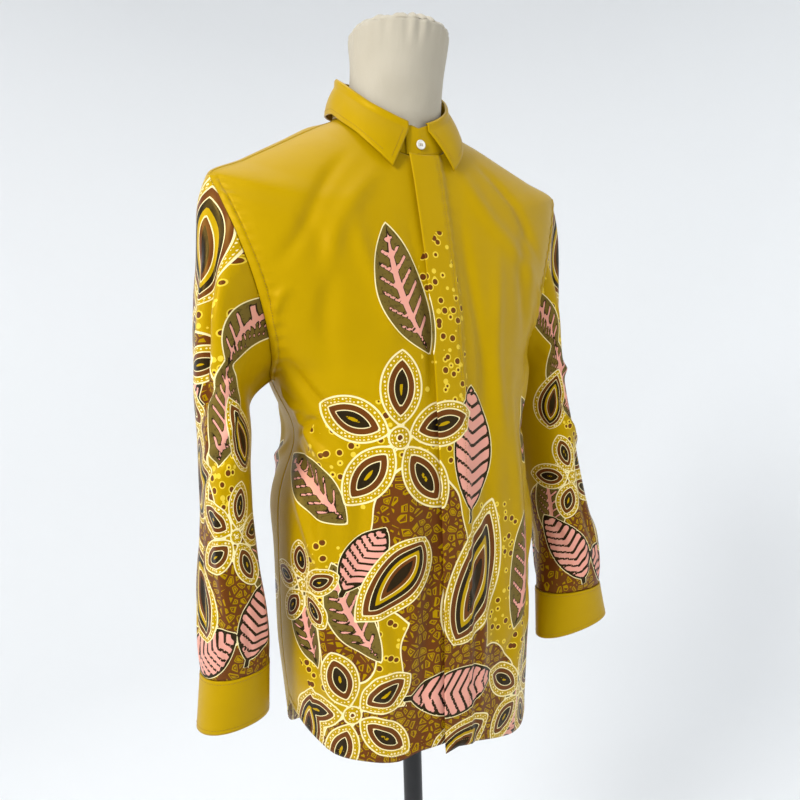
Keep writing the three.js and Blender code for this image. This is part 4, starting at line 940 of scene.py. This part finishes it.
def canvas_material():
    g = Graph("canvas")
    across = g.texture("ShaderNodeTexWave", g.coordinates("Object", 450), "Fac", bands_direction="X", Distortion=1.5)
    upward = g.texture("ShaderNodeTexWave", g.coordinates("Object", 450), "Fac", bands_direction="Z", Distortion=1.5)
    weave = g.math("MAXIMUM", across, upward)
    blotch = g.texture("ShaderNodeTexNoise", g.coordinates("Object", 18), "Fac", Detail=4.0)
    wrinkle = g.texture("ShaderNodeTexNoise", g.coordinates("Object", (60, 60, 22)), "Fac", Detail=3.0)
    colour = g.mix(blotch, linear(172, 163, 144), linear(196, 188, 170))
    colour = g.mix(g.math("MULTIPLY", weave, 0.18), colour, linear(150, 141, 122))
    normal = g.bump(wrinkle, 0.5, 0.002)
    return g.shade(Base_Color=colour, Roughness=0.85, Sheen_Weight=0.15, Normal=g.bump(weave, 0.35, 0.0003, normal))


def black_material():
    g = Graph("black_metal")
    speck = g.texture("ShaderNodeTexNoise", g.coordinates("Object", 900), "Fac", Detail=2.0)
    wear = g.texture("ShaderNodeTexNoise", g.coordinates("Object", 14), "Fac", Detail=5.0)
    colour = g.mix(wear, linear(14, 14, 15), linear(30, 30, 32))
    rough = g.math("MULTIPLY_ADD", wear, 0.25, 0.28)
    return g.shade(Base_Color=colour, Roughness=rough, Metallic=0.3, Normal=g.bump(speck, 0.12, 0.0002))


def stage_material():
    g = Graph("stage")
    drift = g.texture("ShaderNodeTexNoise", g.coordinates("Object", 0.6), "Fac", Detail=1.0)
    return g.shade(Base_Color=g.mix(drift, linear(240, 242, 243), linear(245, 246, 247)), Roughness=0.95)


batik, thread, pearl = batik_material(), thread_material(), pearl_material()
canvas, black, stage = canvas_material(), black_material(), stage_material()
# Painted shade: a near-black finish for the flat discs that stand in for the shadowed depth of each button hole
painted_hole_shade = Graph("button_hole_painted_shade").shade(Base_Color=linear(40, 38, 34), Roughness=0.9)


# ------------------------------------------------------------------ the shirt

fronts = {side: build_front(side) for side in (RIGHT, LEFT)}
for side, rows in ((RIGHT, RIGHT_FRONT_CREASES), (LEFT, LEFT_FRONT_CREASES)):
    piece = press(fronts[side], rows)
    edge_s = piece["s"][:, [0]] if side == RIGHT else piece["s"][:, [-1]]
    from_edge = np.abs(piece["s"] - edge_s)
    on_armhole = np.where(piece["level"] > ARMPIT_LEVEL, from_edge, 99) + 99 * (piece["level"] > SHOULDER_LEVEL)
    raise_band(piece, on_armhole, 9.5, 1.4, 1.0)
    pucker(piece, on_armhole - 12, piece["z"], 8, 12, 0.75)
    above_hem = path_length(piece["places"], 0)
    raise_band(piece, above_hem, 8, 0.6, 0.5)
    pucker(piece, above_hem - 10, piece["s"], 7, 14, 0.4)
    if side == LEFT:
        from_stitch = piece["s"] - FLY_STITCH
        piece["places"] -= piece["out"] * (0.9 * bell(from_stitch / 1.6))[..., None]
        pucker(piece, from_stitch - 4, piece["z"], 7, 15, 0.5)
    piece["out"] = normals(piece["places"])

back = press(build_back(), BACK_CREASES)
side_reach = np.minimum(np.abs(back["s"] - back["s"][:, [0]]), np.abs(back["s"] - back["s"][:, [-1]]))
on_armhole = np.where(back["level"] > ARMPIT_LEVEL, side_reach, 99)
raise_band(back, on_armhole, 9.5, 1.3, 0.9)
pucker(back, on_armhole - 12, back["z"], 8, 12, 0.6)
raise_band(back, path_length(back["places"], 0), 8, 0.6, 0.5)
back["out"] = normals(back["places"])
yoke = press(build_yoke(), YOKE_CREASES)
sleeves = {side: press(build_sleeve(side), rows)
           for side, rows in ((RIGHT, RIGHT_SLEEVE_CREASES), (LEFT, LEFT_SLEEVE_CREASES))}
cuffs, stand, fall = {}, build_stand(), build_fall()
for side in (RIGHT, LEFT):
    cuffs[side] = press(build_cuff(side), [])
for piece in (stand, fall):
    piece["out"] = normals(piece["places"])

underlay_level = np.linspace(hem_level(741), 10.8, 120)[:, None]
underlay_across = np.stack([across_at(FRONTS[LEFT], x, underlay_level[:, 0]) for x in np.linspace(-14, 14, 10)], axis=1)
underlay_places = panel(FRONTS[LEFT], LEFT, underlay_across, underlay_level + 0 * underlay_across)
underlay = {"places": underlay_places + normals(underlay_places) * 1.6, "s": underlay_across * 0, "z": underlay_places[..., 2]}

# The size of each front's and cuff's cut in metres, and its area in square metres.
FRONT_CUTS = {RIGHT: ((0.263, 0.75), 0.168), LEFT: ((0.265, 0.78), 0.175)}
CUFF_CUTS = {RIGHT: ((0.232, 0.061), 0.0141), LEFT: ((0.27, 0.064), 0.0147)}
made = {}
for side, word in ((RIGHT, "right"), (LEFT, "left")):
    made[f"{word}_front"] = sheet(f"{word}_front_cloth", fronts[side], FRONT_PRINT, f"{word}_front",
                                  *FRONT_CUTS[side], ["form_torso"])
    layout = dict(SLEEVE_PRINT)
    made[f"{word}_sleeve"] = sheet(f"{word}_sleeve_cloth", sleeves[side], layout, f"{word}_sleeve",
                                   (0.32, 0.55), 0.130, ["form_torso"])
    made[f"{word}_cuff"] = sheet(f"{word}_cuff_cloth", cuffs[side], PLAIN, f"{word}_cuff", *CUFF_CUTS[side],
                                 [f"{word}_sleeve"], thickness=1.4)
made["back"] = sheet("back_cloth", back, BACK_PRINT, "back", (0.49, 0.667), 0.287, ["form_torso"])
made["yoke"] = sheet("yoke_cloth", yoke, PLAIN, "yoke", (0.50, 0.152), 0.061, ["form_torso"])
made["underlay"] = sheet("fly_underlay_cloth", underlay, PLAIN, "fly_underlay", (0.028, 0.665), 0.0186, ["form_torso"])
made["stand"] = sheet("collar_stand_cloth", stand, PLAIN, "collar_stand", (0.50, 0.045), 0.0172, ["yoke"], thickness=1.4)
made["fall"] = sheet("collar_fall_cloth", fall, PLAIN, "collar_fall", (0.48, 0.066), 0.0212, ["collar_stand"],
                     thickness=1.2)

stitches = {"points": [], "faces": []}
for side in (RIGHT, LEFT):
    piece = fronts[side]
    height, width = piece["z"].shape
    high = np.arange(FRONT_ROWS[0], FRONT_ROWS[0] + FRONT_ROWS[1])
    edge = piece["s"][high, 0] + 9.5 if side == RIGHT else piece["s"][high, -1] - 9.5
    stitch_row(*sample(piece, high.astype(float), column_where(piece["s"], edge, high)), stitches)
    columns = np.arange(width)
    stitch_row(*sample(piece, row_where(piece, 7.5, columns), columns.astype(float)), stitches)
    if side == LEFT:
        rows = np.arange(3, height - 3)
        stitch_row(*sample(piece, rows.astype(float), column_where(piece["s"], FLY_STITCH, rows)), stitches)
columns = np.arange(BACK_COLUMNS)
stitch_row(*sample(back, row_where(back, 7.5, columns), columns.astype(float)), stitches)
for distance, from_top in ((1.8, False), (-1.8, True)):
    columns = np.arange(YOKE_COLUMNS)
    stitch_row(*sample(yoke, row_where(yoke, distance, columns, from_top), columns.astype(float)), stitches)
for side in (RIGHT, LEFT):
    columns = np.arange(CUFF_COLUMNS)
    for distance, from_top in ((5, False), (-4, True)):
        rows = row_where(cuffs[side], distance, columns, from_top)
        points, outs = sample(cuffs[side], rows, columns.astype(float))
        stitch_row(np.concatenate([points, points[:1]]), np.concatenate([outs, outs[:1]]), stitches)
columns = np.arange(8, FALL_COLUMNS - 8)
stitch_row(*sample(fall, row_where(fall, 6, columns), columns.astype(float)), stitches)
fall_across = path_length(fall["places"], 1)
rows = np.arange(3, fall["z"].shape[0] - 7)
for distance in (6 + 0 * fall_across[rows, -1], fall_across[rows, -1] - 6):
    stitch_row(*sample(fall, rows.astype(float), column_where(fall_across, distance, rows)), stitches)
columns = np.arange(6, 190)
stitch_row(*sample(stand, row_where(stand, 3, columns), columns.astype(float)), stitches)
stitching = new_object("stitching", stitches["points"], stitches["faces"])
stitching.data.materials.append(thread)
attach(stitching, "root")


# ------------------------------------------------------------------ buttons

BUTTON_RADIUS, BUTTON_SIDES = 5.65, 40
BUTTON_PROFILE = [(0, 0), (4.9, 0), (5.5, 0.35), (5.65, 1.0), (5.45, 1.75), (4.9, 2.0), (4.2, 1.9),
                  (3.7, 1.45), (3.2, 1.3), (0, 1.3)]
HOLE_OFFSET, HOLE_RADIUS = 1.15, 0.55


def frame_of(out):
    out = unit(np.asarray(out, float))
    side = unit(np.cross((0, 0, 1), out)) if abs(out[2]) < 0.9 else np.array((1.0, 0, 0))
    return side, np.cross(out, side), out


def button(name, node, at, out):
    side, up, out = frame_of(out)
    points, faces, kinds = [], [], []

    def place(x, y, h):
        points.append(np.asarray(at) + side * x + up * y + out * h)
        return len(points) - 1
    rings = [[place(r * math.cos(a), r * math.sin(a), h) for a in
              (2 * math.pi * k / BUTTON_SIDES for k in range(BUTTON_SIDES))]
             for r, h in BUTTON_PROFILE[1:-1]]
    foot, top = place(0, 0, 0), place(0, 0, 1.3)
    for k in range(BUTTON_SIDES):
        n = (k + 1) % BUTTON_SIDES
        faces.append((foot, rings[0][n], rings[0][k]))
        faces.append((top, rings[-1][k], rings[-1][n]))
        kinds += [0, 0]
        for low, high in zip(rings, rings[1:]):
            faces.append((low[k], low[n], high[n], high[k]))
            kinds.append(0)
    # The four holes are flat discs just over the top face, coloured with painted shade in place of real holes
    for x, y in ((1, 1), (1, -1), (-1, -1), (-1, 1)):
        ring = [place(HOLE_OFFSET * x + HOLE_RADIUS * math.cos(a), HOLE_OFFSET * y + HOLE_RADIUS * math.sin(a), 1.33)
                for a in (2 * math.pi * k / 14 for k in range(14))]
        faces.append(ring)
        kinds.append(1)
    for x in (1, -1):
        bar = [place(HOLE_OFFSET * x + dx, dy, h) for dx, dy, h in
               ((-0.4, -1.5, 1.34), (0.4, -1.5, 1.34), (0.4, 1.5, 1.34), (-0.4, 1.5, 1.34),
                (-0.25, -1.1, 1.85), (0.25, -1.1, 1.85), (0.25, 1.1, 1.85), (-0.25, 1.1, 1.85))]
        for a, b, c, d in ((4, 5, 6, 7), (0, 1, 5, 4), (1, 2, 6, 5), (2, 3, 7, 6), (3, 0, 4, 7)):
            faces.append((bar[a], bar[b], bar[c], bar[d]))
            kinds.append(2)
    piece = new_object(name, points, faces)
    for finish in (pearl, painted_hole_shade, thread):
        piece.data.materials.append(finish)
    piece.data.polygons.foreach_set("material_index", kinds)
    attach(piece, "root")
    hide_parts(node)


FLY_BUTTONS, LOWEST_FLY_BUTTON, FLY_BUTTON_PITCH = 7, 840, 85
levels = np.linspace(0, NECK_LEVEL, 4000)
heights = read(FRONTS[LEFT], "level", "z_centre", levels)
for k in range(FLY_BUTTONS):
    level = np.interp(LOWEST_FLY_BUTTON + k * FLY_BUTTON_PITCH, heights, levels)
    around = np.array([[-0.01, 0.01]] * 2)
    spots = panel(FRONTS[LEFT], LEFT, around, np.array([[level - 0.02] * 2, [level + 0.02] * 2]))
    out = normals(spots)[0, 0]
    button(f"fly_button_{k + 1}_pearl", f"fly_button_{k + 1}", spots.mean(axis=(0, 1)) + out * 1.95, out)

neck_front = panel(FRONTS[LEFT], LEFT, np.array([0.0]), np.array([11.0]))[0]
top_front = loop(STAND_TOP, np.array([0.0]))[0]
rise = (1420 - neck_front[2]) / (top_front[2] - neck_front[2])
facing = (0, neck_front[2] - top_front[2], top_front[1] - neck_front[1])
button("collar_button_pearl", "collar_button", neck_front + (top_front - neck_front) * rise + (0, -0.7, 0), facing)
for side, word in ((RIGHT, "right"), (LEFT, "left")):
    piece = cuffs[side]
    column = np.argmin(np.abs(piece["angle"][0] - CUFF_BUTTON_ANGLE))
    row = np.argmin(np.abs(piece["z"][:, column] - CUFF_BUTTON_HEIGHT))
    out = piece["out"][row, column]
    button(f"{word}_cuff_button_pearl", f"{word}_cuff_button", piece["places"][row, column] + out * 0.9, out)


# ------------------------------------------------------------------ dress form and stand

FORM_COLUMNS = 160
NECK_RADIUS, NECK_TILT, NECK_TOP = 56, 0.21, 1549


def neck_centre(z):
    return 6 - (z - 1440) * NECK_TILT


def form_points(z):
    def get(name):
        return read(FORM, "z", name, z)
    turn = np.arange(FORM_COLUMNS) * 2 * math.pi / FORM_COLUMNS
    power = 2 / get("square")
    deep, middle = (get("back") - get("front")) / 2, (get("front") + get("back")) / 2
    return stack(get("half") * signed_power(np.sin(turn), power),
                 middle - deep * signed_power(np.cos(turn), power), z)


def neck_points(z, radius, lift=0.0):
    turn = np.arange(FORM_COLUMNS) * 2 * math.pi / FORM_COLUMNS
    return stack(radius * np.sin(turn), neck_centre(min(z, NECK_TOP)) - radius * np.cos(turn), z + lift)


def closed_rings(name, rings, material, node):
    count = len(rings[0])
    points = np.concatenate(rings)
    faces = grid_faces(len(rings), count, True)
    faces.append(list(range(count))[::-1])
    faces.append(list(range((len(rings) - 1) * count, len(rings) * count)))
    piece = new_object(name, points, faces)
    piece.data.materials.append(material)
    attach(piece, "root")
    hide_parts(node)
    return piece


turn = np.arange(FORM_COLUMNS) * 2 * math.pi / FORM_COLUMNS
foot = form_points(800.0)
rings = [foot * (0.96, 0.96, 1) + (0, 0, -6), foot * (0.985, 0.985, 1) + (0, 0, -4.5), foot]
rings += [form_points(z) for z in np.linspace(806, 1449, 150)]
wrinkles = np.sin(turn * 17 + 2 * np.sin(turn * 3)) + 0.6 * np.sin(turn * 29 + 1)
FLARE = 2.2                       # the neck widens a little towards its cap
for z in np.linspace(1456, NECK_TOP, 34):
    gather = smoothstep(z, 1515, NECK_TOP) * 0.8
    soft = 0.7 * np.sin(turn * 2 + z / 21) + 0.4 * np.sin(turn * 5 - z / 13)
    rings.append(neck_points(z, NECK_RADIUS + soft + gather * wrinkles + FLARE * smoothstep(z, 1500, NECK_TOP)))
rings.append(neck_points(NECK_TOP + 0.2, NECK_RADIUS + FLARE - 2 + 0.4 * wrinkles))
closed_rings("form_body", rings, canvas, "form_torso")

CAP_RISE = 15
cap = []
for share in np.sin(np.linspace(math.pi / 2, 0.08, 40)):
    height = CAP_RISE * math.sqrt(1 - share * share)
    pleat = (1.7 * np.sin(turn * 19 + 2.5 * np.sin(turn * 4)) + 0.9 * np.sin(turn * 31)) * bell((share - 0.75) / 0.4)
    tuft = 2.4 * bell(share / 0.12)
    ring = neck_points(NECK_TOP + 0.35, (NECK_RADIUS + FLARE - 2.2) * share)
    ring[:, 2] = NECK_TOP + 0.4 + height + pleat * 0.9 * share + tuft
    cap.append(ring)
closed_rings("form_cap", cap, canvas, "form_neck_cap")


def lathe(name, profile, node, sides=96):
    turn = np.arange(sides) * 2 * math.pi / sides
    rings = [stack(-r * np.cos(turn), -r * np.sin(turn), h) for r, h in profile]
    points = np.concatenate(rings)
    faces = grid_faces(len(rings), sides, True)
    closing = len(rings) - 1
    if profile[0] == profile[-1]:
        points = points[:closing * sides]
        faces = [[i % (closing * sides) for i in face] for face in faces]
    else:
        faces.append(list(range(sides))[::-1])
        faces.append(list(range(closing * sides, len(rings) * sides)))
    piece = new_object(name, points, faces)
    piece.data.set_sharp_from_angle(angle=math.radians(40))
    piece.data.materials.append(black)
    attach(piece, "root")
    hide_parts(node)


def eased(corner, radius, start, end):
    """A quarter round from one direction to another about a corner's inner centre."""
    angles = np.radians(np.linspace(start, end, 6))
    return [(corner[0] + radius * math.cos(a), corner[1] + radius * math.sin(a)) for a in angles]


BASE_TOP, POLE_RADIUS = 14, 12.5
lathe("base", [(2, 0), (189, 0), *eased((187, 3), 3, -60, 0), *eased((186, 6), 4, 0, 80),
               (150, 10.8), (95, 12.6), (30, 13.9), (2, BASE_TOP)], "base_disc", 160)
lathe("pole_tube", [(2, 14.35), (POLE_RADIUS, 14.35), (POLE_RADIUS, 793.6), (2, 793.6)], "pole", 72)
lathe("socket", [(12.85, 14.35), (22, 14.35), *eased((20.5, 25), 1.5, 0, 80), (16.5, 30.5), (16, 34),
                 *eased((14.6, 58.8), 1.4, 0, 90), (12.85, 60.3), (12.85, 14.35)], "pole_socket", 72)
lathe("plate", [(12.85, 779.7), (39, 779.7), *eased((53.5, 788.5), 1.5, -60, 0), (55, 793.6), (12.85, 793.6),
                (12.85, 779.7)], "form_plate", 96)


# ------------------------------------------------------------------ room, light, camera

def room():
    """A round room: a pale floor that turns up into a pale wall with no edge."""
    floor_radius, bend, top, sides = 2600.0, 900.0, 3600.0, 128
    profile = [(1.0, 0.0), (600.0, 0.0), (1300.0, 0.0)]
    profile += [(floor_radius - bend + bend * math.sin(a), bend - bend * math.cos(a))
                for a in np.linspace(0, math.pi / 2, 20)]
    profile.append((floor_radius, top))
    turn = np.arange(sides) * 2 * math.pi / sides
    points = np.concatenate([stack(r * np.cos(turn), r * np.sin(turn), h) for r, h in profile])
    made = new_object("room", points, grid_faces(len(profile), sides, True) + [list(range(sides))])
    made.data.materials.append(stage)


def area_light(name, place, aim, size, power, tint=(1, 1, 1)):
    lamp = bpy.data.lights.new(name, "AREA")
    lamp.shape = "DISK"
    lamp.size, lamp.energy, lamp.color = size, power, tint
    thing = bpy.data.objects.new(name, lamp)
    bpy.context.scene.collection.objects.link(thing)
    thing.location = place
    towards = np.array(aim) - np.array(place)
    yaw = math.atan2(towards[1], towards[0])
    pitch = math.atan2(towards[2], math.hypot(towards[0], towards[1]))
    thing.rotation_euler = (math.pi / 2 + pitch, 0, yaw - math.pi / 2)


room()
area_light("key", (-1.9, -0.8, 2.3), (0, 0, 1.1), 0.7, 46)
area_light("fill", (1.5, -1.5, 1.6), (0, 0, 1.1), 1.6, 4)
area_light("top", (0.2, 0.3, 3.0), (0, 0, 1.2), 1.8, 14)
area_light("behind", (0.9, 1.8, 1.8), (0, 0, 1.1), 1.4, 6)
world = bpy.data.worlds.new("soft")
world.use_nodes = True
world.node_tree.nodes["Background"].inputs["Color"].default_value = (0.92, 0.95, 1.0, 1)
world.node_tree.nodes["Background"].inputs["Strength"].default_value = 0.38
bpy.context.scene.world = world
bpy.context.scene.view_settings.view_transform = "Standard"

CAMERA_PLACE = (-0.4034, -0.7511, 1.2275)
CAMERA_YAW, CAMERA_PITCH, CAMERA_ROLL = 28.048, 6.915, -1.628
CAMERA_LENS = 30.67
camera_data = bpy.data.cameras.new("camera")
camera_data.lens, camera_data.sensor_width = CAMERA_LENS, 36
camera = bpy.data.objects.new("camera", camera_data)
bpy.context.scene.collection.objects.link(camera)
yaw, pitch, roll = (math.radians(a) for a in (CAMERA_YAW, CAMERA_PITCH, CAMERA_ROLL))
forward = np.array((math.sin(yaw) * math.cos(pitch), math.cos(yaw) * math.cos(pitch), -math.sin(pitch)))
right = unit(np.cross(forward, (0, 0, 1)))
up = np.cross(right, forward)
right, up = math.cos(roll) * right + math.sin(roll) * up, math.cos(roll) * up - math.sin(roll) * right
placing = np.eye(4)
placing[:3, 0], placing[:3, 1], placing[:3, 2], placing[:3, 3] = right, up, -forward, CAMERA_PLACE

camera.matrix_world = mathutils.Matrix(placing.tolist())
bpy.context.scene.camera = camera
